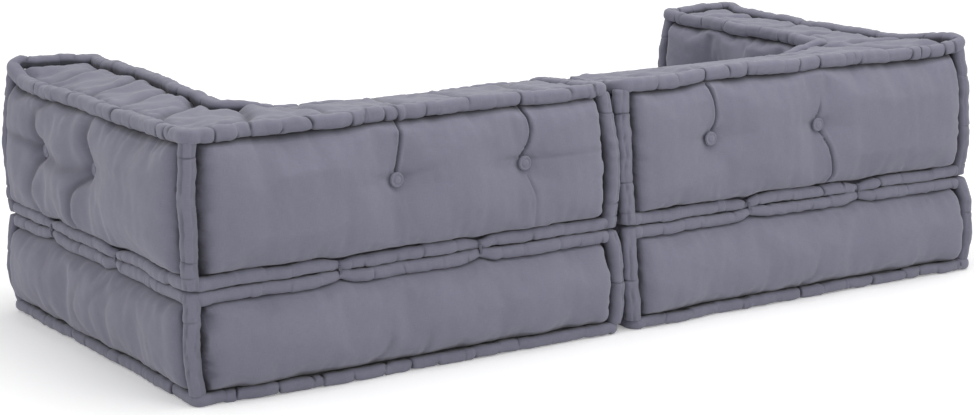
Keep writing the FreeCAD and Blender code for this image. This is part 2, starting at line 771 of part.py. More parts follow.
def build_ties():
    for label, (side, shares) in zip(("rear_waist_ties", "side_waist_ties"), TIE_SIDES):
        keep(shaped(label, Part.makeCompound(tie_loops(side, shares, cell("twine_radius")))), label)


def mirrored(source):
    piece = doc.addObject("Part::Mirroring", source.Name + "_mirrored")
    piece.Source = source
    piece.Normal = ACROSS
    piece.Label = source.Label.replace("left_", "right_", 1)
    return piece


def check(pieces):
    """Stops at an object that failed to compute, or at a sub-part that isn't a sound solid."""
    for piece in doc.Objects:
        if {"Invalid", "Error"} & set(piece.State):
            raise RuntimeError(f"{piece.Name} failed: {piece.State}")
    for piece in pieces:
        shape = piece.Shape
        if shape.isNull() or not shape.isValid() or not shape.Solids:
            raise RuntimeError(f"{piece.Label} is no sound solid")


hollows = build_cores()
build_block("base", base_form, ["seat"], base_corners, BASE_LOW, BASE_HIGH, hollows["base_core"])
upper_hollow = doc.addObject("Part::Fuse", "upper_hollow")
upper_hollow.Base = hollows["back_core"]
upper_hollow.Tool = hollows["arm_core"]
build_block("upper", upper_form, ["back", "arm"], upper_corners, UPPER_LOW, UPPER_HIGH, upper_hollow)
build_tufts()
build_ties()
doc.recompute()
nodes += [mirrored(piece) for piece in list(nodes)]
doc.recompute()
check(nodes)
os.makedirs(PARTS_FOLDER, exist_ok=True)
for piece in nodes:
    piece.Shape.exportStep(f"{PARTS_FOLDER}/{piece.Label}.step")
print(f"{len(nodes)} sub-parts written")
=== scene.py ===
import math
from collections import namedtuple

import bpy
import numpy as np
from bpy.props import FloatProperty, FloatVectorProperty, PointerProperty
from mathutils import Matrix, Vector


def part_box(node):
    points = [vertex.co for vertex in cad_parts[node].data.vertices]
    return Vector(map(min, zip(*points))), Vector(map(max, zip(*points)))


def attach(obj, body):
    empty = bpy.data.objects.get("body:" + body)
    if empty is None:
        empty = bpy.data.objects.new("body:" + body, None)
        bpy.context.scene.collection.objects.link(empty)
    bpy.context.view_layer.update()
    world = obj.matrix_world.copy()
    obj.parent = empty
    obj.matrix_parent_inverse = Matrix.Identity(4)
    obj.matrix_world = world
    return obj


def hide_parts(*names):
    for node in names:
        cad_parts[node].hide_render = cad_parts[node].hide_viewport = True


bl_info = {
    "name": "Modular floor sofa",
    "version": (1, 0, 0),
    "blender": (4, 5, 0),
    "location": "View3D > Sidebar > Sofa",
    "description": "Dresses the frame of a two-module floor sofa in sewn and tufted cotton",
    "category": "Object",
}

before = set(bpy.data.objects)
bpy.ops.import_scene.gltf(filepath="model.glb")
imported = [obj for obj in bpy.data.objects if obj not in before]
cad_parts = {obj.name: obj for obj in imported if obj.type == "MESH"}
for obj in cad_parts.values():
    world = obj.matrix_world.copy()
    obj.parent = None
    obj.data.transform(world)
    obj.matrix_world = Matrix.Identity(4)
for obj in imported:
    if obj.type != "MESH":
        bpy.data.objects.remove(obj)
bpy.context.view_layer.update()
TOP_ROLL, WAIST_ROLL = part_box("left_upper_top_roll"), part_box("left_base_top_roll")
REAR_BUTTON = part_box("left_rear_button_1")
TIES = {"rear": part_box("left_rear_waist_ties"), "outer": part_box("left_side_waist_ties")}
CORES = [np.array(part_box(f"left_{name}_core")) for name in ("back", "arm")]

MODULES = ("left", "right")
UPPER_HEIGHT = TOP_ROLL[1].z - WAIST_ROLL[1].z
ROLL_SHARE = 17 / 350       # radius of a level roll, as a share of the upper block's height


def length(name, description, default):
    return FloatProperty(name=name, description=description, default=default, unit="LENGTH")


def tint(name, description, default):
    return FloatVectorProperty(
        name=name, description=description, default=default, subtype="COLOR", size=3, min=0, max=1)


class SofaSizes(bpy.types.PropertyGroup):
    """Sizes of the sofa. Plan sizes run to the outside of the rolled edges."""

    width: length("Module width", "From the seam to the arm's outer side", 1.150)
    seam: length("Seam clearance", "From the middle of the sofa to a module's rolls", 0.008)
    depth: length("Depth", "From the front to the rear at the floor", 1.030)
    height: length("Height", "Floor to the top rolls", TOP_ROLL[1].z)
    base: length("Seat block height", "Floor to the waist", WAIST_ROLL[1].z)
    arm: length("Arm thickness", "Width of the arm's block", 0.260)
    back: length("Back depth", "Depth of the back's block at the floor", 0.360)
    lean: length("Rear lean", "How far the rear face comes forward over the whole height", 0.065)
    roll: length("Roll radius", "Radius of the level rolled edges", UPPER_HEIGHT * ROLL_SHARE)
    upright: length("Upright roll radius", "Radius of the rolled edges up the corners", 0.020)
    button: length("Button radius", "Radius of the covered buttons", (REAR_BUTTON[1].x - REAR_BUTTON[0].x) / 2)
    bulge: length("Side bulge", "How far the sides stand proud of the rolls", 0.010)


class SofaCloth(bpy.types.PropertyGroup):
    """Colours of the sofa's cloth and of the stage."""

    cotton: tint("Cotton", "Colour of the cotton", (0.196, 0.195, 0.256))
    foam: tint("Foam", "Colour of the foam cores", (0.72, 0.66, 0.48))
    twine: tint("Twine", "Colour of the stitching twine", (0.15, 0.15, 0.2))
    floor: tint("Floor", "Colour of the floor", (0.9, 0.9, 0.9))


# Numbers of the surfaces, in metres where nothing else is said

SEW_IN = 0.031          # the skins are sewn this far inside the rolls' outer side
SEW_OFF = 0.013         # and this far past the rolls' middle
TURN = 0.024            # radius of a level roll's middle line at a corner
EDGE_RISE = 0.035       # a panel levels out over this distance from its edge
WAIST_RISE = 0.021      # and over this one from the edges at the waist
SEAT_CROWN = 0.030      # height of the seat's crown over its sewn edge
CROWN_RISE = 0.15       # and it levels out over this distance
SIDE_DOME = 0.004       # a side stands out by this much more in its middle
VALLEY = 0.010          # width of the valley between an upright roll and a panel
REAR_VALLEY = 0.0145    # and on the rear
ARM_VALLEYS = {True: 0.0215, False: 0.0175}     # on the rear of the left arm, upper block or seat block
DRAW_SHARE = 0.006      # an edge draws in by this share of its length
WAVER_OUT, WAVER_UP = 0.0030, 0.0024    # slow wavers of an edge
RIPPLE_OUT, RIPPLE_UP = 0.0010, 0.0007  # and small ones
EDGE_LIFT = {"top": 0, "waist": 0.0014, "bottom": -0.0022}      # of the rolls, at the waist away from each other
TIE_DRAW, TIE_PULL, TIE_WIDTH = 0.004, 0.006, 0.030     # a tie draws the edges in and together over this width
CONTACT = 0.0004        # room left between cloths that press on each other
CORE_COVER = 0.003      # least cloth and wadding over the cores
TWINE = 0.0015          # radius of the waist ties' twine
WOUND_TWINE = 0.0012    # and as it is wound tight
TIE_LOOP, TIE_PITCH, TIE_TURNS = (0.0128, 0.0200), 0.0024, 3    # half width and height of a tie, and its windings
ROUND = 28              # points round a roll
THETA = np.linspace(0, 2 * np.pi, ROUND, endpoint=False)
SQUARE = 2.6            # a level roll's section: 2 is a circle, and more is squarer
SQUARE_FIT = 0.965      # share of the radius that keeps the squared section's girth
UPRIGHT_BOW = 0.013     # an upright roll stands out half way up
TIP = 0.008             # and its ends are rounded over this length, to a small last ring
TIP_RING = 0.0004
GROOVES = ((-0.38, 0.0028), (1.0, 0.0018))      # of an upright roll: angle from its corner's way out, and depth
SEAMS = (-1.75, 1.75)   # angles of a level roll's puckered seams
ROLL_STEP = 0.0055      # between the rings of a roll
NEAR_RINGS = 0.0009     # two rings are never closer
STRETCH_STEP = 0.0028   # a roll's girth goes over to its next stretch's within this
CORNER_RINGS = 7        # rings of a level roll round a corner
GIRTHS = {"top": 1.05, "waist": 0.92, "bottom": 0.87}     # of the level rolls, as shares of their radius
# Rings of a roll by a notch, and lines of the fine lattice by a sewn line and by an upright crease
NOTCH_RINGS = np.array([-0.0062, -0.0042, -0.0026, -0.0012, 0, 0.0012, 0.0026, 0.0042, 0.0062])
CLOSE_LINES = (-0.018, -0.012, -0.0075, -0.0035, 0.0035, 0.0075, 0.012, 0.018)
CREASE_LINES = (-0.004, -0.002, 0, 0.002, 0.004)
COARSE_STEP = 0.0165    # of the lattice on which the stuffing is worked out
FINE_STEP = 0.0075      # and of the lattice of the finished skin
STUFFING = {            # the cloth's settings while it is stuffed
    "quality": 6, "mass": 0.3, "tension_stiffness": 25, "compression_stiffness": 25, "shear_stiffness": 12,
    "bending_stiffness": 0.8, "air_damping": 3, "vertex_group_mass": "sewn", "pin_stiffness": 1,
    "shrink_min": -0.018, "use_pressure": True, "uniform_pressure_force": 4,
}
STUFFING_FRAMES = 22    # after which the pressed cloth has come to rest
MOST_STUFFING = 0.024   # it moves no point further
TUFT_REACH = {"outer": 0.120, "inner_arm": 0.120, "rear": 0.075, "top": 0.110, "bottom": 0.05}
WIDE_TUFT = 0.100       # how far a button draws the cloth in where TUFT_REACH doesn't say it
TUFT_LIFT = 0.0005      # the cloth lies this far under a button's seat
CORNER_FALL = 0.10      # an upright edge's bow dies away over this distance
WAVES = 18                  # plane waves in a sum of them
PANEL_WAVES = ((0.0012, (0.07, 0.20), 3), (0.0004, (0.015, 0.04), 4))   # height, lengths and own seed
TOP_WAVE = 0.0022           # height of the slow waves of a top panel
THREAD = (0.030, 0.070)     # shortest and longest of the small waves of an edge
BROAD = (0.05, 0.14)        # and of the slow waves of a panel
SEAM_SIDE = 0.1         # a corner with its x under this is one at the seam
INNER_CORNER = 4        # number of the corner where the L turns
FLOOR_LINES, FLOOR_REACH = 9, 14        # lines of the floor each way, and how far it reaches from the middle
SKY = 0.66                              # strength of the even light from all round
# Name, place, the place it shines on, size and power of each lamp
LAMPS = (
    ("overhead", (-0.3, 0.6, 3.6), (0, 0, 0.2), 3.6, 62),
    ("camera_side", (-1.0, 5.0, 2.6), (-0.4, 0, 0.3), 2.6, 35),
    ("arm_side", (3.6, -0.4, 0.22), (1.1, 0, 0.1), 1.2, 10),
)
CAMERA_PLACE = (3.260, 4.772, 1.471)
CAMERA_TURN = (33.84, 12.27)            # degrees from the rear towards the arm, and down
SENSOR = 36                             # millimetres
FOCAL_LENGTH, PHOTO_WIDTH = 2308, 974   # pixels of the photograph

Side = namedtuple("Side", "name run out low_outer high_outer")
Panel = namedtuple("Panel", "name i j k out turned")
Lattice = namedtuple("Lattice", "x y z turn_x turn_y")


def unit(vectors):
    return vectors / np.linalg.norm(vectors, axis=-1, keepdims=True)


def ease(share):
    """A quarter of a rounded square: steep at 0, level from 1 on."""
    return (1 - (1 - np.clip(share, 0, 1)) ** 2.4) ** 0.46


def smooth(share):
    """Three squares less two cubes of the share, level at both ends."""
    share = np.clip(share, 0, 1)
    return share * share * (3 - 2 * share)


def bell(distance, width):
    """The exponential of minus the square of distance by width."""
    return np.exp(-((distance / width) ** 2))


def waves(places, lengths, seed):
    """Sum of plane waves of random ways and phases, with lengths between the two given. Mostly within -1 to 1."""
    rng = np.random.default_rng(seed)
    ways = unit(rng.normal(size=(WAVES, places.shape[-1])))
    numbers = 2 * np.pi / rng.uniform(*lengths, WAVES)
    phases = rng.uniform(0, 2 * np.pi, WAVES)
    return np.sin(places @ (ways * numbers[:, None]).T + phases).sum(-1) / math.sqrt(WAVES)


def steps(places, cuts, values, width):
    """A value for each stretch between the cuts, going over from one to the next within a width of each cut."""
    rise = 0.5 + 0.5 * np.tanh((places[:, None] - cuts[None, :]) / width)
    return values[0] + rise @ np.diff(values)


def spread(coarse, fine):
    """Weights that carry values at the coarse places to the fine places on cubic arcs through them."""
    place = np.interp(fine, coarse, np.arange(len(coarse)))
    cell = np.minimum(place.astype(int), len(coarse) - 2)
    t = place - cell
    shares = (
        -t / 2 + t**2 - t**3 / 2,
        1 - 2.5 * t**2 + 1.5 * t**3,
        t / 2 + 2 * t**2 - 1.5 * t**3,
        -(t**2) / 2 + t**3 / 2,
    )
    wide = np.zeros((len(fine), len(coarse) + 2))
    for step, share in enumerate(shares):
        wide[np.arange(len(fine)), cell + step] += share
    wide[:, 1:3] += wide[:, :1] * [2, -1]
    wide[:, -3:-1] += wide[:, -1:] * [-1, 2]
    return wide[:, 1:-1]


def axis(stops, step, close, near):
    """Places along an axis: even steps between the stops and the close places, none nearer than given."""
    stops = np.unique(np.round(stops, 5))
    spans = zip(stops[:-1], stops[1:])
    runs = [np.linspace(a, b, max(2, 1 + round((b - a) / step))) for a, b in spans]
    places = np.concatenate(runs + [np.asarray(close, float)])
    places = np.unique(places[(places >= stops[0]) & (places <= stops[-1])])
    kept = [places[0]]
    for place in places[1:]:
        if place - kept[-1] >= near:
            kept.append(place)
        elif np.abs(stops - place).min() < 1e-9:
            kept[-1] = place
    return np.array(kept)


def line_distance(u, v, line):
    """Distance of each grid point from a bent line, and the place of its nearest point on the line, 0 to 1."""
    line = np.asarray(line, float)
    if len(line) > 2:
        knots = np.linspace(0, 1, len(line))
        line = spread(knots, np.linspace(0, 1, 4 * len(line))) @ line
    lengths = np.linalg.norm(np.diff(line, axis=0), axis=1)
    starts = np.concatenate([[0], np.cumsum(lengths)])
    nearest = np.full(u.shape, np.inf)
    along = np.zeros(u.shape)
    for a, b, start, length in zip(line[:-1], line[1:], starts, lengths):
        way = (b - a) / length
        t = np.clip((u - a[0]) * way[0] + (v - a[1]) * way[1], 0, length)
        distance = np.hypot(u - a[0] - t * way[0], v - a[1] - t * way[1])
        closer = distance < nearest
        nearest = np.where(closer, distance, nearest)
        along = np.where(closer, (start + t) / starts[-1], along)
    return nearest, along


def crease(u, v, line, depth, width, ends):
    """A valley on a bent line with a puffed lip on both sides.

    It falls with the distance from the line, and its depth goes from one end's share to the other's.
    """
    distance, along = line_distance(u, v, line)
    hold = ends[0] + (ends[1] - ends[0]) * smooth(along)
    valley = np.exp(-((distance / width) ** 1.4))
    lip = bell(distance - 2.6 * width, 1.5 * width)
    return depth * hold * (0.3 * lip - valley)


# The blocks. Every shape is worked out in the left module's place, and the right module is its mirror image


class Block:
    """One sewn block: its sides, its level edges and the lattice that its panels lie on."""

    def __init__(self, sizes, module, upper):
        self.s, self.module, self.upper = sizes, module, upper
        self.kind = "upper" if upper else "base"
        self.seed = 1000 * MODULES.index(module) + 100 * upper
        s = sizes
        self.shift = s.lean * s.base / (4 * s.height)
        self.front = self.shift + s.depth / 2 - s.depth
        self.arm_face = s.width - s.arm
        self.back_face = s.depth / 2 + self.shift - s.back
        self.low = s.base + CONTACT + s.roll if upper else s.roll
        self.high = s.height - s.roll if upper else s.base - s.roll
        self.sides = self.make_sides()

    def rear(self, z):
        """The rear face leans towards the seat as it rises."""
        return self.s.depth / 2 + self.shift - self.s.lean * z / self.s.height

    def corners(self, z):
        s = self.s
        ends = [(s.seam, self.rear(z)), (s.width, self.rear(z)), (s.width, self.front)]
        if self.upper:
            ends += [(self.arm_face, self.front), (self.arm_face, self.back_face), (s.seam, self.back_face)]
        else:
            ends += [(s.seam, self.front)]
        return np.array(ends)

    def level(self, top):
        """Whether the block's level edge is one at the waist, at the top or at the bottom."""
        return "waist" if top != self.upper else "top" if top else "bottom"

    def make_sides(self):
        """The sides in turn: the axis each runs along, its way out, and whether its ends are outer corners."""
        rows = [("rear", 0, (0, 1), 1, 1), ("outer", 1, (1, 0), 1, 1), ("front", 0, (0, -1), 1, 1)]
        if self.upper:
            rows += [("inner_arm", 1, (-1, 0), 1, 0), ("inner_back", 0, (0, -1), 1, 0)]
        rows += [("seam", 1, (-1, 0), 1, 1)]
        return {name: Side(name, run, np.array(out, float), *ends) for name, run, out, *ends in rows}

    def ties(self, name):
        """Places of the waist ties along a side."""
        if name not in TIES:
            return []
        low, high = (corner[self.sides[name].run] for corner in TIES[name])
        return [high - TWINE, low + TWINE]

    def edge_shift(self, name, top, places):
        """How far a level edge leaves its straight line: outwards and upwards, at plan places.

        Outwards it draws in along the side and wavers, and upwards it wavers, peaks at some corners and is drawn
        to the waist at each tie.
        """
        side = self.sides[name]
        z = self.high if top else self.low
        gap = np.linalg.norm(places[:, None, :] - self.corners(z)[None], axis=2)
        free = smooth(gap.min(1) / 0.08)
        u = places[:, side.run]
        start, end = self.side_ends(name, z)
        t = np.clip((u - start) / (end - start), 0, 1)
        level = self.level(top)
        waist = level == "waist"
        seed = self.seed - 100 * self.upper + (40 if waist else 10 * top)
        outwards = -DRAW_SHARE * (end - start) * 4 * t * (1 - t)
        outwards = outwards + WAVER_OUT * free * waves(places, (0.12, 0.35), seed + 1)
        outwards = outwards + RIPPLE_OUT * free * waves(places, THREAD, seed + 3 + 20 * top)
        upwards = WAVER_UP * waves(places, (0.12, 0.40), seed + 2)
        sideways = np.zeros((len(places), 3))
        for corner, shift in PULLED_CORNERS.get((self.module, level), {}).items():
            sideways += bell(gap[:, corner], 0.14)[:, None] * shift
        if self.upper and top:
            for corner, peak in PEAKS[self.module].items():
                upwards = upwards + peak * bell(gap[:, corner], 0.055)
            for place, rise, width in HUMPS.get((self.module, name), []):
                upwards = upwards + rise * bell(u - place, width)
            arched = t ** 0.65 if name == "inner_arm" else t
            upwards = upwards + ARCHES[self.module].get(name, 0) * 4 * arched * (1 - arched)
            if name == "inner_back":
                upwards = upwards - BACK_SAG[self.module] * smooth((self.arm_face - u) / 0.16)
            if name == "seam":
                upwards = upwards - BACK_SAG[self.module] * (1 - t)
        else:
            upwards = upwards * (0.6 if waist else 0.35)
        upwards = upwards + RIPPLE_UP * waves(places, THREAD, seed + 4 + 20 * top)
        upwards = upwards + EDGE_LIFT[level] * (-1 if waist and not top else 1)
        if name == "seam":
            outwards = np.minimum(outwards, 0.004)
            if not waist:
                outwards = outwards - 0.006 * bell(gap[:, 0], 0.05)
        if waist:
            for tie in self.ties(name):
                pinch = bell(u - tie, TIE_WIDTH)
                outwards = outwards - TIE_DRAW * pinch
                upwards = upwards + (TIE_PULL if top else -TIE_PULL) * pinch
        return sideways + outwards[:, None] * np.append(side.out, 0) + upwards[:, None] * np.array([0, 0, 1.0])

    def side_ends(self, name, z):
        """Where a side starts and ends along its axis."""
        s = self.s
        return {
            "rear": (s.seam, s.width),
            "outer": (self.front, self.rear(z)),
            "front": (self.arm_face if self.upper else s.seam, s.width),
            "inner_arm": (self.front, self.back_face),
            "inner_back": (s.seam, self.arm_face),
            "seam": (self.back_face if self.upper else self.front, self.rear(z)),
        }[name]

    def side_place(self, name, z):
        """Where a side's straight line lies across its axis."""
        s = self.s
        return {
            "rear": self.rear(z),
            "outer": s.width,
            "front": self.front,
            "inner_arm": self.arm_face,
            "inner_back": self.back_face,
            "seam": s.seam,
        }[name]

    def notches(self, name, top):
        """Where twine pinches a level roll along a side, and how deep: random gaps, and the given strong ones."""
        z = self.high if top else self.low
        start, end = self.side_ends(name, z)
        rng = np.random.default_rng(self.seed + 10 * top + 7 * len(name) + ord(name[0]))
        count = max(2, round((end - start) / 0.070))
        shares = np.arange(count) + rng.uniform(0, 1, count)
        places = np.sort(start + 0.035 + (end - start - 0.07) * shares / count)
        depths = (0.0007 + 0.0044 * rng.uniform(0, 1, count) ** 2.6) * (1 if top == self.upper else 0.5)
        for place, depth in STRONG_NOTCHES.get((self.module, self.upper, name, top), []):
            keep = np.abs(places - place) > 0.022
            places, depths = np.append(places[keep], place), np.append(depths[keep], depth)
        if top != self.upper:
            for tie in self.ties(name):
                keep = np.abs(places - tie) > 0.03
                places, depths = np.append(places[keep], tie), np.append(depths[keep], 0.003)
        order = np.argsort(places)
        return places[order], depths[order]

    def tufts(self, panel):
        """Buttons of a panel in the left module's place: middle, lowest and highest corner of each."""
        return [spot for name in TUFT_NODES[self.upper].get(panel, []) for spot in found_buttons(self, name)]


# Corners go by their number in the plan. How far those of a top edge rise, and the pull of an edge's corners
PEAKS = {
    "left": {0: 0.002, 1: 0.004, 2: 0.038, 3: 0.010, 5: 0.004},
    "right": {0: 0.003, 1: 0.018, 2: 0.012, 3: 0.010, 5: 0.003},
}
PULLED_CORNERS = {
    ("left", "top"): {1: (0.004, 0.030, 0), 2: (-0.008, 0.010, 0)},
    ("left", "waist"): {1: (0, -0.012, 0)},
    ("left", "bottom"): {1: (0, -0.022, 0), 2: (-0.006, 0.006, 0.005)},
    ("right", "top"): {1: (0.002, 0.008, 0)},
}
# Module and side of a top edge: place along it, rise and width of a hump
HUMPS = {("right", "outer"): [(0.370, 0.024, 0.090)]}
# How far a level roll's corner stands out from the two sides' lines
PLAIN_REACH = 0.018
CORNER_REACH = {("left", True): {2: 0.006}, ("left", False): {1: 0.010}, ("right", True): {1: 0.017}}
# Rise of a top edge's middle
ARCHES = {
    "left": {"front": 0.036, "inner_arm": 0.027},
    "right": {"front": 0.012, "inner_arm": 0.004, "rear": 0.008},
}
# The back's top edge hangs this much lower above the seat than at the rear
BACK_SAG = {"left": 0.027, "right": 0.034}
# Module, whether the upper block, side, whether the top edge: place along the side and depth
STRONG_NOTCHES = {
    ("left", True, "rear", True): [
        (1.070, 0.005), (1.018, 0.004), (0.970, 0.005), (0.901, 0.004), (0.826, 0.005), (0.636, 0.005),
        (0.606, 0.0065), (0.415, 0.004), (0.268, 0.009), (0.132, 0.003), (0.050, 0.007)],
    ("right", True, "rear", True): [
        (0.130, 0.003), (0.278, 0.009), (0.352, 0.004), (0.590, 0.005), (0.650, 0.006), (0.760, 0.003),
        (0.958, 0.006), (1.020, 0.005), (1.075, 0.006)],
    ("left", True, "outer", True): [
        (-0.313, 0.005), (-0.120, 0.004), (0.116, 0.008), (0.333, 0.006), (0.372, 0.005), (0.398, 0.004)],
    ("left", False, "rear", False): [(1.039, 0.006), (0.942, 0.005), (0.669, 0.007), (0.604, 0.006)],
    ("right", False, "rear", False): [(0.560, 0.007), (0.800, 0.005)],
    ("right", True, "rear", False): [(0.640, 0.005), (0.720, 0.004), (0.835, 0.006)],
}
TUFT_NODES = {
    True: {
        "rear": ["rear_button_1", "rear_button_2"],
        "inner_back": ["back_button_1", "back_button_2"],
        "outer": ["arm_outer_button_1", "arm_outer_button_2"],
        "inner_arm": ["arm_inner_button_1", "arm_inner_button_2"],
    },
    False: {"top": ["seat_buttons"], "bottom": ["underside_buttons"]},
}
# Across the upright creases of the rear the lattice is closer, at these places along it
CREASE_COLUMNS = {
    "left": (0.604, 0.612, 0.620, 0.260, 0.268, 0.282),
    "right": (0.632, 0.652, 0.658, 0.280, 0.291),
}
# Module, whether the upper block, panel: a line on the panel, depth, width, and shares of the depth at its ends
CREASES = {
    ("left", True, "rear"): [
        ([(0.622, 0.454), (0.617, 0.487), (0.610, 0.523), (0.604, 0.566)], 0.0100, 0.0028, (1, 1)),
        ([(0.283, 0.454), (0.264, 0.487), (0.258, 0.523), (0.268, 0.566)], 0.0110, 0.0030, (1, 1.1)),
        ([(0.255, 0.450), (0.162, 0.451), (0.043, 0.452)], 0.0030, 0.0040, (1, 0.8)),
        ([(0.382, 0.458), (0.300, 0.454)], 0.0025, 0.0050, (0.1, 1)),
        ([(0.268, 0.406), (0.256, 0.360), (0.258, 0.290)], 0.0035, 0.0030, (0.9, 0.3)),
        ([(0.720, 0.466), (0.645, 0.446)], 0.0022, 0.0070, (0.1, 1)),
        ([(0.500, 0.466), (0.600, 0.446)], 0.0022, 0.0070, (0.1, 1)),
    ],
    ("right", True, "rear"): [
        ([(0.283, 0.457), (0.292, 0.487), (0.290, 0.523), (0.279, 0.566)], 0.0110, 0.0030, (1, 1.1)),
        ([(0.623, 0.457), (0.630, 0.480), (0.632, 0.515)], 0.0070, 0.0034, (1, 0.1)),
        ([(0.632, 0.422), (0.652, 0.378), (0.660, 0.320), (0.655, 0.288)], 0.0095, 0.0030, (0.9, 1)),
        ([(0.200, 0.450), (0.262, 0.442)], 0.0022, 0.0060, (0.1, 1)),
        ([(0.560, 0.454), (0.606, 0.442)], 0.0022, 0.0060, (0.1, 1)),
        ([(0.330, 0.484), (0.293, 0.454)], 0.0022, 0.0050, (0.1, 1)),
    ],
    ("left", True, "outer"): [
        ([(-0.262, 0.448), (-0.292, 0.466), (-0.300, 0.505), (-0.280, 0.535), (-0.226, 0.565)],
         0.013, 0.0150, (1, 0.5)),
        ([(-0.275, 0.446), (-0.355, 0.458), (-0.470, 0.464)], 0.010, 0.0130, (1, 0.4)),
        ([(-0.262, 0.434), (-0.305, 0.385), (-0.310, 0.335), (-0.290, 0.292)], 0.012, 0.0120, (1, 0.5)),
        ([(0.012, 0.448), (0.004, 0.470), (-0.016, 0.515), (0.016, 0.560)], 0.014, 0.0140, (1, 0.6)),
        ([(0.000, 0.438), (-0.113, 0.425), (-0.250, 0.440)], 0.007, 0.0180, (1, 1)),
        ([(0.004, 0.430), (-0.062, 0.385), (-0.078, 0.325), (-0.056, 0.280)], 0.014, 0.0100, (1, 0.7)),
        ([(0.020, 0.446), (0.120, 0.458), (0.240, 0.450)], 0.003, 0.0120, (1, 0.1)),
    ],
    ("right", True, "outer"): [
        ([(-0.262, 0.448), (-0.285, 0.490), (-0.275, 0.533), (-0.240, 0.565)], 0.013, 0.0150, (1, 0.5)),
        ([(-0.275, 0.446), (-0.355, 0.456), (-0.470, 0.460)], 0.010, 0.0130, (1, 0.4)),
        ([(-0.262, 0.434), (-0.300, 0.380), (-0.290, 0.300)], 0.012, 0.0140, (1, 0.5)),
        ([(0.012, 0.448), (0.020, 0.480), (0.000, 0.525), (0.010, 0.560)], 0.013, 0.0140, (1, 0.6)),
        ([(0.000, 0.438), (-0.113, 0.421), (-0.250, 0.436)], 0.009, 0.0180, (1, 1)),
        ([(0.004, 0.428), (-0.040, 0.375), (-0.030, 0.290)], 0.012, 0.0130, (1, 0.6)),
    ],
    ("left", True, "top"): [
        ([(1.119, -0.360), (1.060, -0.335), (0.990, -0.350), (0.921, -0.395)], 0.010, 0.012, (0.7, 1)),
        ([(1.119, -0.095), (1.068, -0.132), (0.980, -0.145), (0.921, -0.190)], 0.015, 0.012, (0.7, 1)),
        ([(1.119, 0.060), (1.060, 0.030), (0.990, 0.010), (0.921, -0.020)], 0.010, 0.012, (0.5, 1)),
        ([(1.119, 0.275), (1.054, 0.209), (0.975, 0.155), (0.921, 0.085)], 0.015, 0.012, (0.8, 1)),
        ([(1.048, 0.440), (0.960, 0.390), (0.900, 0.300), (0.885, 0.200)], 0.014, 0.012, (0.7, 1)),
        ([(0.760, 0.425), (0.735, 0.330), (0.760, 0.195)], 0.012, 0.012, (0.8, 1)),
        ([(0.565, 0.425), (0.545, 0.330), (0.520, 0.195)], 0.013, 0.012, (0.8, 1)),
        ([(0.395, 0.425), (0.380, 0.320), (0.400, 0.195)], 0.012, 0.012, (0.9, 1)),
        ([(0.205, 0.425), (0.190, 0.310), (0.165, 0.195)], 0.013, 0.012, (0.8, 1)),
    ],
    ("right", True, "top"): [
        ([(1.119, -0.330), (1.050, -0.310), (0.990, -0.340), (0.921, -0.350)], 0.014, 0.012, (0.7, 1)),
        ([(1.119, -0.140), (1.060, -0.120), (0.980, -0.100), (0.921, -0.130)], 0.012, 0.012, (0.7, 1)),
        ([(1.119, 0.060), (1.060, 0.080), (0.990, 0.050), (0.921, 0.070)], 0.014, 0.012, (0.6, 1)),
        ([(1.119, 0.290), (1.050, 0.260), (0.960, 0.230), (0.900, 0.190)], 0.013, 0.012, (0.8, 1)),
        ([(0.990, 0.425), (0.930, 0.340), (0.860, 0.200)], 0.013, 0.012, (0.8, 1)),
        ([(0.760, 0.425), (0.735, 0.330), (0.700, 0.195)], 0.013, 0.012, (0.8, 1)),
        ([(0.520, 0.425), (0.545, 0.330), (0.530, 0.195)], 0.012, 0.012, (0.8, 1)),
        ([(0.305, 0.425), (0.330, 0.320), (0.310, 0.195)], 0.014, 0.012, (0.9, 1)),
        ([(0.125, 0.425), (0.140, 0.310), (0.110, 0.195)], 0.011, 0.012, (0.8, 1)),
    ],
    ("left", False, "outer"): [
        ([(-0.034, 0.182), (-0.077, 0.103), (-0.023, 0.049)], 0.0045, 0.0120, (0.5, 0.8)),
        ([(0.094, 0.204), (0.019, 0.124), (0.042, 0.059)], 0.0045, 0.0120, (0.8, 0.4)),
        ([(0.173, 0.215), (0.111, 0.163), (0.108, 0.074)], 0.0040, 0.0140, (0.9, 0.3)),
        ([(-0.248, 0.220), (-0.237, 0.150), (-0.220, 0.071)], 0.0030, 0.0140, (0.9, 0.5)),
    ],
    ("left", False, "rear"): [
        ([(0.661, 0.150), (0.667, 0.090), (0.683, 0.055), (0.705, 0.036)], 0.0045, 0.0080, (0.1, 1)),
        ([(0.560, 0.120), (0.566, 0.060), (0.575, 0.036)], 0.0030, 0.0090, (0.1, 1)),
    ],
    ("right", False, "rear"): [
        ([(0.600, 0.115), (0.590, 0.060), (0.560, 0.036)], 0.0040, 0.0080, (0.1, 1)),
    ],
}


def clusters(points, gap):
    """Buttons of one node, told apart by their places: middle, lowest and highest corner of each."""
    found = []
    while len(points):
        near = np.linalg.norm(points - points[0], axis=1) < gap
        low, high = points[near].min(0), points[near].max(0)
        found.append(((low + high) / 2, low, high))
        points = points[~near]
    return found


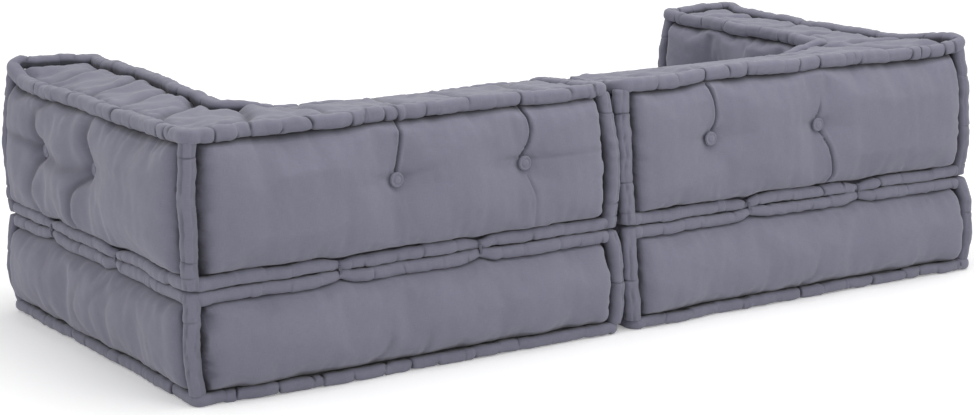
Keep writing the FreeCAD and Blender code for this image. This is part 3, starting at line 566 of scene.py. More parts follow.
def lattice(block, fine):
    """Places of the lattice lines along x, y and z, and the numbers of the lines where the L turns."""
    s = block.s
    turns = [block.arm_face + SEW_IN, block.back_face + SEW_IN]
    stops = [
        [s.seam + SEW_IN, s.width - SEW_IN],
        [block.front + SEW_IN, block.rear((block.low + block.high) / 2) - SEW_IN],
        [block.low + SEW_OFF, block.high - SEW_OFF],
    ]
    if block.upper:
        for row, turn in zip(stops, turns):
            row.append(turn)
    close = [[stop + offset for stop in row for offset in CLOSE_LINES] if fine else [] for row in stops]
    if fine and block.upper:
        close[0] += [place + offset for place in CREASE_COLUMNS[block.module] for offset in CREASE_LINES]
    step = FINE_STEP if fine else COARSE_STEP
    lines = [axis(row, step * share, extra, 0.0018) for row, share, extra in zip(stops, (1, 1, 0.9), close)]
    return Lattice(*lines, *[int(np.abs(line - turn).argmin()) for line, turn in zip(lines, turns)])


def panels(block, grid):
    """The panels of a block: name, lattice numbers of its points, way out and whether its faces turn."""
    all_x, all_y, all_z = (np.arange(len(line)) for line in grid[:3])
    last_x, last_y, last_z = (len(line) - 1 for line in grid[:3])
    upper = block.upper

    def wall(name, numbers, fixed, turned):
        side = block.sides[name]
        u, k = np.meshgrid(numbers, all_z, indexing="ij")
        f = np.full(u.shape, fixed)
        i, j = (u, f) if side.run == 0 else (f, u)
        return Panel(name, i, j, k, np.append(side.out, 0.0), turned)

    rows = [
        wall("rear", all_x, last_y, True),
        wall("outer", all_y, last_x, False),
        wall("front", all_x[grid.turn_x:] if upper else all_x, 0, False),
    ]
    if upper:
        rows.append(wall("inner_arm", all_y[: grid.turn_y + 1], grid.turn_x, True))
        rows.append(wall("inner_back", all_x[: grid.turn_x + 1], grid.turn_y, False))
    rows.append(wall("seam", all_y[grid.turn_y:] if upper else all_y, 0, True))
    i, j = np.meshgrid(all_x, all_y, indexing="ij")
    rows.append(Panel("top", i, j, np.full(i.shape, last_z), np.array([0, 0, 1.0]), False))
    rows.append(Panel("bottom", i, j, np.zeros(i.shape, int), np.array([0, 0, -1.0]), True))
    return rows


def lattice_points(block, grid, panel):
    """Plain lattice places, with the rear part leaning with the rear face."""
    points = np.stack([grid.x[panel.i], grid.y[panel.j], grid.z[panel.k]], -1)
    middle = (block.low + block.high) / 2
    share = np.clip((points[..., 1] - block.back_face) / (grid.y[-1] - block.back_face), 0, 1)
    points[..., 1] += (block.rear(points[..., 2]) - block.rear(middle)) * share
    return points


CORNER_WAYS = {
    "rear": [(-1, 1), (1, 1)], "outer": [(1, -1), (1, 1)], "front": [(-1, -1), (1, -1)],
    "inner_arm": [(-1, -1), (0, 0)], "inner_back": [(-1, -1), (0, 0)], "seam": [(-1, -1), (-1, 1)]}


def corner_bow(block, name, high_end, t):
    """How far the upright edge at a side's end stands out half way up, over shares of the height."""
    way = np.array(CORNER_WAYS[name][high_end], float)
    at_seam = way[0] < 0 and (name in ("rear", "inner_back", "seam") or name == "front" and not block.upper)
    reach = np.array([0.006 if at_seam else 0.011, 0.011])
    return np.append(way * reach, 0) * (4 * t * (1 - t))[..., None]


def wall_points(block, grid, panel):
    """A side panel: its sewn lines carried across it, and a pillow that rises steeply from each edge."""
    name, side = panel.name, block.sides[panel.name]
    run, level_axis = side.run, 1 - side.run
    points = lattice_points(block, grid, panel)
    z = grid.z
    tall = z[-1] - z[0]
    t = (points[..., 2] - z[0]) / tall
    u = points[..., run]
    start, end = u[:1, :], u[-1:, :]
    low_line = block.edge_shift(name, False, points[:, 0, :2])
    high_line = block.edge_shift(name, True, points[:, -1, :2])
    points = points + low_line[:, None] * (1 - t[..., None]) + high_line[:, None] * t[..., None]
    for high_end, gap in ((0, u - start), (1, end - u)):
        fall = 1 - smooth(gap / CORNER_FALL)
        points = points + corner_bow(block, name, high_end, t) * fall[..., None]
    rises = (WAIST_RISE, EDGE_RISE) if block.upper else (EDGE_RISE, WAIST_RISE)
    vertical = ease((t * tall - 0.002) / rises[0]) * ease(((1 - t) * tall - 0.002) / rises[1])
    seed = block.seed + ord(name[0]) + len(name)
    heights = points[..., 2:3]
    ragged = 0.0016 * waves(heights, BROAD, seed) + 0.0006 * waves(heights, (0.02, 0.04), seed + 1)
    valley = (REAR_VALLEY if name == "rear" else VALLEY) + ragged
    across = ease((u - start - valley) / EDGE_RISE)
    if name == "rear" and block.module == "left":
        valley = ARM_VALLEYS[block.upper] + 2.2 * ragged
    height = SEW_IN + block.s.bulge
    gap = end - u
    if side.high_outer:
        across = across * ease((gap - valley) / EDGE_RISE)
    else:
        across = across * (1 - (1 - SEW_IN / height) * (1 - smooth(gap / 0.07)))
        slide = np.zeros(3)
        slide[run] = -1
        points = points + slide * (SEW_IN * vertical * (1 - smooth(gap / 0.12)))[..., None]
    dome = SIDE_DOME * (4 * t * (1 - t)) * np.clip(4 * (u - start) * gap / (end - start) ** 2, 0, 1)
    lift = (height * vertical + dome) * across
    sign = panel.out[level_axis]
    for centre, low, high in block.tufts(name):
        seat = low[level_axis] if sign > 0 else high[level_axis]
        depth = (seat - points[..., level_axis]) * sign - TUFT_LIFT
        gap = np.hypot(u - centre[run], points[..., 2] - centre[2])
        near = 1 - np.clip((gap - block.s.button * 0.8) / TUFT_REACH.get(name, WIDE_TUFT), 0, 1)
        pull = near ** (3.4 if name == "outer" else 2.2)
        lift = lift * (1 - pull) + depth * pull
        if name == "rear":
            lift = lift - 0.0055 * bell(gap - block.s.button, 0.013)
    return points + panel.out * lift[..., None], points[..., run], points[..., 2]


def segment_gap(points, a, b):
    """Plan distance of points from a straight stretch."""
    a, b = np.array(a), np.array(b)
    way = b - a
    t = np.clip(((points[..., :2] - a) @ way) / (way @ way), 0, 1)
    return np.linalg.norm(points[..., :2] - a - t[..., None] * way, axis=-1)


def cap_points(block, grid, panel):
    """The top or bottom panel: it rises from its sewn edges and levels, and is flat where it is pressed."""
    s, top = block.s, panel.name == "top"
    points = lattice_points(block, grid, panel)
    z = points[0, 0, 2]
    total = np.zeros(points.shape)
    weights = np.zeros(points.shape[:2])
    rise = np.ones(points.shape[:2])
    for side in block.sides.values():
        run = side.run
        ends = np.array(block.side_ends(side.name, z), float)
        place = block.side_place(side.name, z)
        a, b = np.zeros(2), np.zeros(2)
        a[run], b[run] = ends
        a[1 - run] = b[1 - run] = place
        a, b = a - side.out * SEW_IN, b - side.out * SEW_IN
        a[run] += SEW_IN
        b[run] += -SEW_IN if side.high_outer else SEW_IN
        gap = segment_gap(points, a, b)
        on_line = np.zeros((points.shape[0] * points.shape[1], 2))
        on_line[:, run] = np.clip(points[..., run].ravel(), *ends)
        on_line[:, 1 - run] = place
        shift = block.edge_shift(side.name, top, on_line).reshape(points.shape)
        weight = 1 / (gap**2 + 0.0001)
        total += shift * weight[..., None]
        weights += weight
        rise *= ease(gap / EDGE_RISE)
    shift = total / weights[..., None]
    if block.upper and top:
        shift[..., 2] *= 1 - np.where(shift[..., 2] < 0, 0.55, 0.2) * rise
    points = points + shift
    u, v = points[..., 0], points[..., 1]
    if block.upper and top:
        height = SEW_OFF + s.roll - 0.020 + 0.008 * smooth(rise ** 2)
    elif block.upper:
        height = z - (s.base + CONTACT)
    elif top:
        height = s.base - CONTACT - z
    else:
        height = z - CONTACT
    points[..., 2] += panel.out[2] * height * rise
    if top and not block.upper:
        low, high = (s.seam + 0.03, block.front + 0.03), (block.arm_face, block.back_face)
        crown = np.ones(u.shape)
        for run, value in enumerate((u, v)):
            crown *= ease(np.clip(value - low[run], 0, None) / CROWN_RISE)
            crown *= ease(np.clip(high[run] - value, 0, None) / CROWN_RISE)
        points[..., 2] += SEAT_CROWN * crown
    for centre, low, high in block.tufts(panel.name):
        gap = np.hypot(u - centre[0], v - centre[1])
        pull = (1 - np.clip((gap - s.button * 0.8) / TUFT_REACH[panel.name], 0, 1)) ** 2.0
        seat = (low[2] if top else high[2]) - TUFT_LIFT * panel.out[2]
        points[..., 2] = points[..., 2] * (1 - pull) + seat * pull
    return points, u, v


def panel_points(block, grid, panel):
    return (cap_points if panel.name in ("top", "bottom") else wall_points)(block, grid, panel)


def codes(grid, i, j, k):
    return (i * len(grid.y) + j) * len(grid.z) + k


def quad_corners(numbers, turned):
    """The four corners of each cell of a grid of numbers, in the order that makes its face look outwards."""
    a, b, c, d = numbers[:-1, :-1], numbers[1:, :-1], numbers[1:, 1:], numbers[:-1, 1:]
    ring = (a, d, c, b) if turned else (a, b, c, d)
    return np.stack(ring, -1)


def sewn(block, grid, rows, shapes):
    """Panels joined along their shared lines.

    Gives the points, the four-cornered faces, the places of each face's corners in the cloth, the painted shade
    and the lattice numbers of the points.
    """
    numbers, points, faces, cloth, painted_shades = [], [], [], [], []
    for panel, (places, u, v, painted_shade) in zip(rows, shapes):
        code = codes(grid, panel.i, panel.j, panel.k)
        keep = np.ones((code.shape[0] - 1, code.shape[1] - 1), bool)
        if panel.name in ("top", "bottom") and block.upper:
            keep = ~((panel.i[1:, 1:] <= grid.turn_x) & (panel.j[1:, 1:] <= grid.turn_y))
        numbers.append(code.ravel())
        points.append(places.reshape(-1, 3))
        painted_shades.append(painted_shade.ravel())
        faces.append(quad_corners(code, panel.turned)[keep])
        cloth.append(np.stack([quad_corners(u, panel.turned), quad_corners(v, panel.turned)], -1)[keep])
    numbers, points, painted_shades = np.concatenate(numbers), np.concatenate(points), np.concatenate(painted_shades)
    faces = np.concatenate([ring.reshape(-1, 4) for ring in faces])
    cloth = np.concatenate([ring.reshape(-1, 2) for ring in cloth])
    names, first = np.unique(numbers, return_index=True)
    used, inverse = np.unique(np.searchsorted(names, faces.ravel()), return_inverse=True)
    return points[first][used], inverse.reshape(-1, 4), cloth, painted_shades[first][used], names[used]


def make_piece(name, points, faces, cloth=None, painted_shade=None, material=None):
    """A mesh object at the origin, its cloth places as a map and its painted shade as the crease attribute."""
    mesh = bpy.data.meshes.new(name)
    mesh.vertices.add(len(points))
    mesh.vertices.foreach_set("co", np.asarray(points, np.float32).ravel())
    corners = faces.shape[1]
    mesh.loops.add(faces.size)
    mesh.loops.foreach_set("vertex_index", faces.ravel().astype(np.int32))
    mesh.polygons.add(len(faces))
    mesh.polygons.foreach_set("loop_start", np.arange(0, faces.size, corners, dtype=np.int32))
    mesh.polygons.foreach_set("use_smooth", np.ones(len(faces), bool))
    mesh.update(calc_edges=True)
    if cloth is not None:
        mesh.uv_layers.new(name="cloth").data.foreach_set("uv", np.asarray(cloth, np.float32).ravel())
    if painted_shade is not None:
        # The crease attribute holds painted shade: the cotton is painted darker where it is high.
        mesh.attributes.new("crease", "FLOAT", "POINT").data.foreach_set("value", np.asarray(painted_shade, np.float32))
    if material is not None:
        mesh.materials.append(material)
    mesh.validate()
    piece = bpy.data.objects.new(name, mesh)
    bpy.context.scene.collection.objects.link(piece)
    return piece


def mirrored(module, points, faces, cloth):
    """The right module's shapes are mirrored, with their faces turned to look outwards again."""
    if module == "left":
        return points, faces, cloth
    turned = faces[:, ::-1]
    if cloth is not None:
        cloth = cloth.reshape(len(faces), faces.shape[1], 2)[:, ::-1].reshape(-1, 2)
    return points * [-1, 1, 1], turned, cloth


def stuffed(block):
    """How far stuffing moves the sewn skin from its worked-out shape, at the coarse lattice's points.

    The skin is simulated as cloth with pressure inside, sewn down along its edges, at its buttons and where it is
    pressed flat.
    """
    grid = lattice(block, False)
    rows = panels(block, grid)
    shapes = [(*panel_points(block, grid, panel), np.zeros(panel.i.shape)) for panel in rows]
    points, faces, _, _, names = sewn(block, grid, rows, shapes)
    held = set()
    for panel, (places, *_) in zip(rows, shapes):
        name, i, j = panel.name, panel.i, panel.j
        code = codes(grid, i, j, panel.k)
        edge = np.zeros(code.shape, bool)
        edge[[0, -1], :] = edge[:, [0, -1]] = True
        if name in ("top", "bottom") and block.upper:
            edge |= (i == grid.turn_x) & (j <= grid.turn_y) | (j == grid.turn_y) & (i <= grid.turn_x)
        if name == "bottom":
            edge[:] = True
        if name == "top" and not block.upper:
            edge |= (places[..., 0] > block.arm_face - 0.012) | (places[..., 1] > block.back_face - 0.012)
        for centre, _, _ in block.tufts(name):
            flat = places - centre
            flat[..., int(np.abs(panel.out).argmax())] = 0
            gap = np.linalg.norm(flat, axis=-1)
            edge |= gap <= max(block.s.button * 0.9, gap.min() + 1e-6)
        held.update(code[edge].tolist())
    pins = np.flatnonzero(np.isin(names, list(held)))
    skin = make_piece("skin", points, faces)
    skin.vertex_groups.new(name="sewn").add(pins.tolist(), 1.0, "REPLACE")
    cloth = skin.modifiers.new("stuffing", "CLOTH")
    for key, value in STUFFING.items():
        setattr(cloth.settings, key, value)
    cloth.settings.effector_weights.gravity = 0
    scene = bpy.context.scene
    cloth.point_cache.frame_start, cloth.point_cache.frame_end = 1, STUFFING_FRAMES + 2
    for number in range(1, STUFFING_FRAMES + 1):
        scene.frame_set(number)
    moved = np.empty(len(points) * 3, np.float32)
    done = skin.evaluated_get(bpy.context.evaluated_depsgraph_get())
    done.data.vertices.foreach_get("co", moved)
    moved = moved.reshape(-1, 3) - points
    scene.frame_set(1)
    mesh = skin.data
    bpy.data.objects.remove(skin)
    bpy.data.meshes.remove(mesh)
    reach = np.linalg.norm(moved, axis=1, keepdims=True)
    moved *= np.minimum(1, MOST_STUFFING / np.maximum(reach, 1e-9))
    moved[pins] = 0
    if block.upper:
        moved[:, 2] = np.minimum(moved[:, 2], 0.003)
    return grid, names, moved


def gathers(block, name, u, v, low_line, high_line):
    """Folds that fan from the pinches of the rolls into a panel: a valley at each, dying away from the edge."""
    total = np.zeros(u.shape)
    for top, line in ((False, low_line), (True, high_line)):
        places, depths = block.notches(name, top)
        rng = np.random.default_rng(block.seed + 31 + 10 * top + len(name))
        away = np.abs(v - line)
        for place, depth in zip(places, depths):
            lean, length = rng.uniform(-0.35, 0.35), rng.uniform(0.018, 0.055)
            total -= 0.75 * depth * bell(u - place - lean * away, 0.0050 + 0.20 * away) * np.exp(-away / length)
    return total * (1.2 if name == "outer" else 0.8)


def dressed(block, grid, panel, places, u, v):
    """Adds creases on their lines, gathers at the rolls and slow waves to a panel, and gives its painted shade.
    """
    name = panel.name
    lift = np.zeros(u.shape)
    inside = np.ones(u.shape)
    shade = np.zeros(u.shape)
    seed = block.seed + 5 * len(name) + ord(name[0])
    spots = np.stack([u, v], -1)
    if name not in ("bottom", "seam"):
        for height, lengths, own in PANEL_WAVES:
            lift += height * waves(spots, lengths, seed + own)
    if name not in ("top", "bottom"):
        below, above = grid.z[panel.k] - grid.z[0], grid.z[-1] - grid.z[panel.k]
        edge = np.minimum(below, above)
        side = np.minimum(np.abs(u - u[:1]), np.abs(u[-1:] - u))
        inside = smooth(edge / 0.010) * smooth(side / 0.010)
        # Painted shade: full within this distance of an upright roll's side and next to the sewn top and bottom
        # edges
        dark = np.full(u.shape, 0.013 if name == "rear" else 0.009)
        if name == "rear" and block.module == "left":
            dark[u > block.s.width / 2] = ARM_VALLEYS[block.upper] - 0.002
        starts = (-0.003, 0.005) if block.upper else (0.005, -0.003)
        clear = smooth((below - starts[0]) / 0.006) * smooth((above - starts[1]) / 0.006)
        shade = 1 - clear * smooth((side - dark) / 0.008)
        lift += gathers(block, name, u, grid.z[panel.k], grid.z[0] + 0.01, grid.z[-1] - 0.01)
        ripple = waves(np.stack([u, 0.15 * v], -1), (0.018, 0.045), seed + 5)
        lift += 0.0016 * ripple * np.exp(-np.clip(edge - 0.01, 0, None) / 0.020)
    elif name == "top" and block.upper:
        gap = np.full(u.shape, np.inf)
        for side in block.sides.values():
            ends = block.side_ends(side.name, block.high)
            place = block.side_place(side.name, block.high)
            along, across = (u, v) if side.run == 0 else (v, u)
            beyond = np.clip(ends[0] - along, 0, None) + np.clip(along - ends[1], 0, None)
            away = np.hypot(np.abs(across - place) - SEW_IN, beyond)
            gap = np.minimum(gap, away)
            rng = np.random.default_rng(seed + ord(side.name[0]) + len(side.name))
            for spot, depth in zip(*block.notches(side.name, True)):
                lean, reach = rng.uniform(-0.4, 0.4), rng.uniform(0.03, 0.13)
                valley = bell(along - spot - lean * away, 0.005 + 0.10 * away) * np.exp(-away / reach)
                lift -= 1.3 * depth * valley * (beyond < 0.001)
        inside = smooth(gap / 0.010)
        # Painted shade along the top panel's sewn edges
        shade = 1 - smooth((gap - 0.003) / 0.008)
        lift += TOP_WAVE * waves(spots, BROAD, seed + 6)
    elif name == "top":
        inside = smooth((places[..., 2] - (block.s.base - 0.001)) / 0.010)
        lift += TOP_WAVE * waves(spots, BROAD, seed + 6)
    painted_shade = np.zeros(u.shape)
    for line, depth, width, ends in CREASES.get((block.module, block.upper, name), []):
        fold = crease(u, v, line, depth, width, ends)
        painted_shade = np.minimum(painted_shade, fold)
        lift += fold
    # Painted shade in the crease valleys, darker the deeper they are, full on the rear and half elsewhere, with
    # the edges' painted shade added
    painted_shade = np.clip(-painted_shade / 0.010, 0, 1) * (1 if name == "rear" else 0.5)
    return places + panel.out * (lift * inside)[..., None], np.clip(painted_shade * inside + shade, 0, 1)


def skin_piece(block):
    """The block's skin on the fine lattice: worked-out panels, the stuffing's movement over them, creases."""
    coarse, names, moved = stuffed(block)
    grid = lattice(block, True)
    rows = panels(block, grid)
    shapes = []
    for panel, coarse_panel in zip(rows, panels(block, coarse)):
        places, u, v = panel_points(block, grid, panel)
        code = codes(coarse, coarse_panel.i, coarse_panel.j, coarse_panel.k)
        found = np.searchsorted(names, code).clip(0, len(names) - 1)
        field = np.where((names[found] == code)[..., None], moved[found], 0)
        for _ in range(2 if panel.name in ("rear", "outer") else 0):
            field[1:-1] = (field[:-2] + 2 * field[1:-1] + field[2:]) / 4
        first = 1 if panel.out[0] else 0
        second = 1 if panel.out[2] else 2
        lines = coarse[first][coarse_panel[1 + first][:, 0]], grid[first][panel[1 + first][:, 0]]
        along, across = spread(*lines), spread(coarse[second], grid[second])
        field = np.einsum("au,uvc,bv->abc", along, field, across, optimize=True)
        places, painted_shade = dressed(block, grid, panel, places + field, u, v)
        shapes.append((places, u, v, painted_shade))
    points, faces, cloth, painted_shade, _ = sewn(block, grid, rows, shapes)
    points[:, 0] = np.maximum(points[:, 0], CONTACT)
    base = block.s.base
    if block.upper:
        points[:, 2] = np.maximum(points[:, 2], base + CONTACT)
        for low, high in CORES:
            over = (points[:, 2] > (low[2] + high[2]) / 2) & (points[:, :2] > low[:2] - 0.01).all(1)
            over &= (points[:, :2] < high[:2] + 0.01).all(1)
            points[over, 2] = np.maximum(points[over, 2], high[2] + CORE_COVER)
    else:
        points[:, 2] = np.maximum(points[:, 2], CONTACT)
        under = (points[:, 0] > block.arm_face) | (points[:, 1] > block.back_face)
        points[under, 2] = np.minimum(points[under, 2], base - CONTACT / 2)
    return points, faces, cloth, painted_shade


# Rolled edges


def turned_from(middle, angles):
    """Angles counted from a middle one, from half a turn back to half a turn ahead."""
    return np.angle(np.exp(1j * (angles - middle)))


def spokes(theta, first, second):
    """Ways out of a line all round it, in the plane of two ways at each of its points."""
    return np.cos(theta)[None, :, None] * first[:, None] + np.sin(theta)[None, :, None] * second[:, None]


def tube_skin(along, radius):
    """Places on an even and straight tube, for waves that meet themselves round a roll."""
    grid = np.broadcast_arrays(along[:, None], radius * np.cos(THETA), radius * np.sin(THETA))
    return np.stack(grid, -1)


def tube_cloth(along, radius):
    """Places in the cloth of a tube's faces: its length and its girth laid flat."""
    grids = np.meshgrid(along, np.append(THETA, 2 * np.pi) * radius, indexing="ij")
    return np.stack([quad_corners(grid, True) for grid in grids], -1).reshape(-1, 2)


def fold_round(depth, behind, turn):
    """Depth of a pinch round a roll: the whole of it at a turn, and a share of it behind."""
    return depth * (behind + (1 - behind) * smooth(0.5 + 0.7 * np.cos(THETA - turn)))[None]


def closed_tube(count, around, turned):
    """Faces of a tube of rings of points, with both of its ends closed."""
    numbers = np.arange(count * around).reshape(-1, around)
    walls = quad_corners(np.hstack([numbers, numbers[:, :1]]), turned).reshape(-1, 4)
    return np.vstack([walls, cap_quads(numbers[0], turned), cap_quads(numbers[-1], not turned)])


def roll_path(block, top):
    """Middle line of a level roll: points, and for each point the side and the place along it that it belongs to.

    A side is a row of points on its drawn and wavering line, and a corner is a quadratic arc between two sides.
    """
    z = block.high if top else block.low
    corners = block.corners(z)
    count = len(corners)
    lines = []
    for number, side in enumerate(block.sides.values()):
        run = side.run
        a, b = corners[number][run], corners[(number + 1) % count][run]
        low = min(a, b) + (TURN + (block.s.roll if side.low_outer else -block.s.roll))
        high = max(a, b) - (TURN + (block.s.roll if side.high_outer else -block.s.roll))
        close = (block.notches(side.name, top)[0][:, None] + NOTCH_RINGS).ravel()
        places = axis([low, high], ROLL_STEP, close, NEAR_RINGS)
        if b < a:
            places = places[::-1]
        plan = np.zeros((len(places), 2))
        plan[:, run] = places
        plan[:, 1 - run] = block.side_place(side.name, z)
        shift = block.edge_shift(side.name, top, plan)
        line = np.column_stack([plan - side.out * block.s.roll, np.full(len(plan), z)]) + shift
        lines.append((side.name, places, line))
    points, sides, spots = [], [], []
    for number, (name, places, line) in enumerate(lines):
        end = (number + 1) % count
        a, b = line[-1], lines[end][2][0]
        way = unit(line[-1] - line[-2])
        corner = a + way * np.dot(b - a, way)
        corner[2] = (a[2] + b[2]) / 2
        outside = unit((corner * 2 - a - b) * [1, 1, 0])
        if top != block.upper:
            corner = corner - 0.014 * outside
        elif corners[end, 0] > SEAM_SIDE and end != INNER_CORNER:
            corner = corner + CORNER_REACH.get((block.module, block.upper), {}).get(end, PLAIN_REACH) * outside
        t = np.linspace(0, 1, CORNER_RINGS + 2)[1:-1, None]
        points += [line, a * (1 - t) ** 2 + 2 * corner * t * (1 - t) + b * t**2]
        sides += [name] * len(line) + [""] * CORNER_RINGS
        spots += [places, np.full(CORNER_RINGS, np.nan)]
    return np.concatenate(points), np.array(sides), np.concatenate(spots)


def roll_cuts(block, top, along, sides, spots):
    """The notches of a level roll in order, with their depths, and its ties, as lengths along its middle line."""
    cuts, depths, ties = [], [], []
    for name in block.sides:
        here = sides == name
        order = np.argsort(spots[here])
        found, deep = block.notches(name, top)
        cuts.append(np.interp(found, spots[here][order], along[here][order]))
        depths.append(deep)
        if top != block.upper:
            ties += [float(np.interp(tie, spots[here][order], along[here][order])) for tie in block.ties(name)]
    cuts, depths = np.concatenate(cuts), np.concatenate(depths)
    order = np.argsort(cuts)
    return cuts[order], depths[order], ties


def roll_piece(block, top):
    """A level roll: a tube about its middle line with a squared section.

    Its radius is pinched at each notch and at the ties, every stretch between two notches has its own girth and
    offset, and fine waves run along the cloth.
    """
    points, sides, spots = roll_path(block, top)
    ahead = np.roll(points, -1, 0) - np.roll(points, 1, 0)
    way = unit(ahead * [1, 1, 0.6])
    out = unit(np.cross([0, 0, 1.0], way))
    up = unit(np.cross(way, out))
    lengths = np.linalg.norm(np.roll(points, -1, 0) - points, axis=1)
    along = np.concatenate([[0], np.cumsum(lengths)[:-1]])
    cuts, depths, ties = roll_cuts(block, top, along, sides, spots)
    radius, seed = block.s.roll, block.seed + 10 * top
    rng = np.random.default_rng(seed + 51)
    girth = 1 + rng.uniform(-0.06, 0.05, len(cuts) + 1)
    shifts = rng.uniform(-0.0013, 0.0013, (2, len(cuts) + 1))
    girth[-1] = girth[0]
    shifts[:, -1] = shifts[:, 0]
    swell = np.ones(len(along))
    for low, high in zip(cuts[:-1], cuts[1:]):
        away, half = np.abs(along - (high + low) / 2), (high - low) / 2
        swell += np.where(away < half, 0.03 * (1 - np.clip(away / half, 0, 1)**4) - 0.015, 0)
    body = steps(along, cuts, girth, STRETCH_STEP) * swell * GIRTHS[block.level(top)]
    for tie in ties:
        body *= 1 - 0.32 * np.exp(-((np.abs(along - tie) / TIE_WIDTH) ** 1.3))
    offsets = [steps(along, cuts, shift, STRETCH_STEP)[:, None] for shift in shifts]
    centre = points + out * offsets[0] + up * offsets[1]
    slants = rng.uniform(-0.55, 0.55, len(cuts))
    turns = np.where(rng.uniform(0, 1, len(cuts)) < 0.65, -1, 1) * rng.uniform(0.9, 2.2, len(cuts))
    widths = rng.uniform(0.0014, 0.0030, len(cuts))
    square = (np.abs(np.cos(THETA)) ** SQUARE + np.abs(np.sin(THETA)) ** SQUARE) ** (-1 / SQUARE)
    ring = body[:, None] * radius * SQUARE_FIT * square
    pinch = np.zeros(ring.shape)
    for cut, depth, slant, turn, width in zip(cuts, depths, slants, turns, widths):
        near = np.abs(along - cut) < 0.06
        offset = along[near, None] - cut - slant * radius * np.sin(THETA - turn)[None]
        fold = fold_round(depth, 0.35 if depth > 0.004 else 0.1, turn)
        pinch[near] = np.maximum(pinch[near], fold * np.exp(-np.abs(offset / width) ** 1.5))
        ring[near] -= 0.35 * fold * np.exp(-np.abs(offset) / 0.009)
    ring -= pinch
    ring += 0.00045 * waves(tube_skin(along, radius), (0.012, 0.03), seed + 61)
    puckers = 0.5 + 0.5 * waves(along[:, None], (0.018, 0.050), seed + 66)
    for seam in SEAMS:
        ring -= 0.0012 * puckers[:, None] * bell(turned_from(seam, THETA), 0.55)
    places = (centre[:, None] + ring[..., None] * spokes(THETA, out, up)).reshape(-1, 3)
    places[:, 0] = np.maximum(places[:, 0], CONTACT)
    if not block.upper and not top:
        places[:, 2] = np.maximum(places[:, 2], CONTACT / 2)
    numbers = np.arange(len(places)).reshape(-1, ROUND)
    closed = np.vstack([numbers, numbers[:1]])
    closed = np.hstack([closed, closed[:, :1]])
    faces = quad_corners(closed, True).reshape(-1, 4)
    cloth = tube_cloth(np.append(along, along[-1] + lengths[-1]), radius)
    # Painted shade on the side of the roll tucked against its panel, and in its pinches
    tucked = (-0.75 if top else 0.75) * math.pi
    painted_tuck_shade = smooth((1.20 - np.abs(turned_from(tucked, THETA))) / 0.4)
    painted_shade = np.maximum(np.clip(pinch / 0.0035, 0, 1), painted_tuck_shade[None]).ravel()
    return places, faces, cloth, painted_shade


def upright_line(block, number, ends, z, t, ways):
    """Middle line of an upright roll: inset from its corner, bowed and wavering, and moved with both edges."""
    s = block.s
    here = block.corners(ends[0])[number]
    swell = 4 * t * (1 - t)
    plan = np.array([[here[0], block.rear(h) if here[1] > block.back_face + 0.01 else here[1]] for h in z])
    inset = np.repeat((s.roll + TURN * (1 - math.sqrt(0.5)) - UPRIGHT_BOW * swell)[:, None], 2, 1)
    if here[0] < SEAM_SIDE:
        inset[:, 0] = s.upright - s.seam + 0.0006 + 0.011 * (1 - swell ** 0.8)
    line = plan + inset * ways
    wobble = np.stack([np.full(len(z), here[0] * 3 + here[1]), z], 1)
    fade = np.sin(np.pi * t) ** 0.5
    seed = block.seed + number
    for run, reach in ((0, 0.0016), (1, 0.0022)):
        line[:, run] += reach * fade * waves(wobble, (0.08, 0.2), seed + 81 + 10 * run)
    line += 0.0009 * fade[:, None] * np.stack([waves(wobble, (0.02, 0.05), seed + n) for n in (101, 111)], 1)
    side = list(block.sides)[number]
    low, high = (block.edge_shift(side, top, block.corners(ends[top])[number][None])[0] for top in (False, True))
    return np.column_stack([line, z]) + (1 - t)[:, None] * low + t[:, None] * high


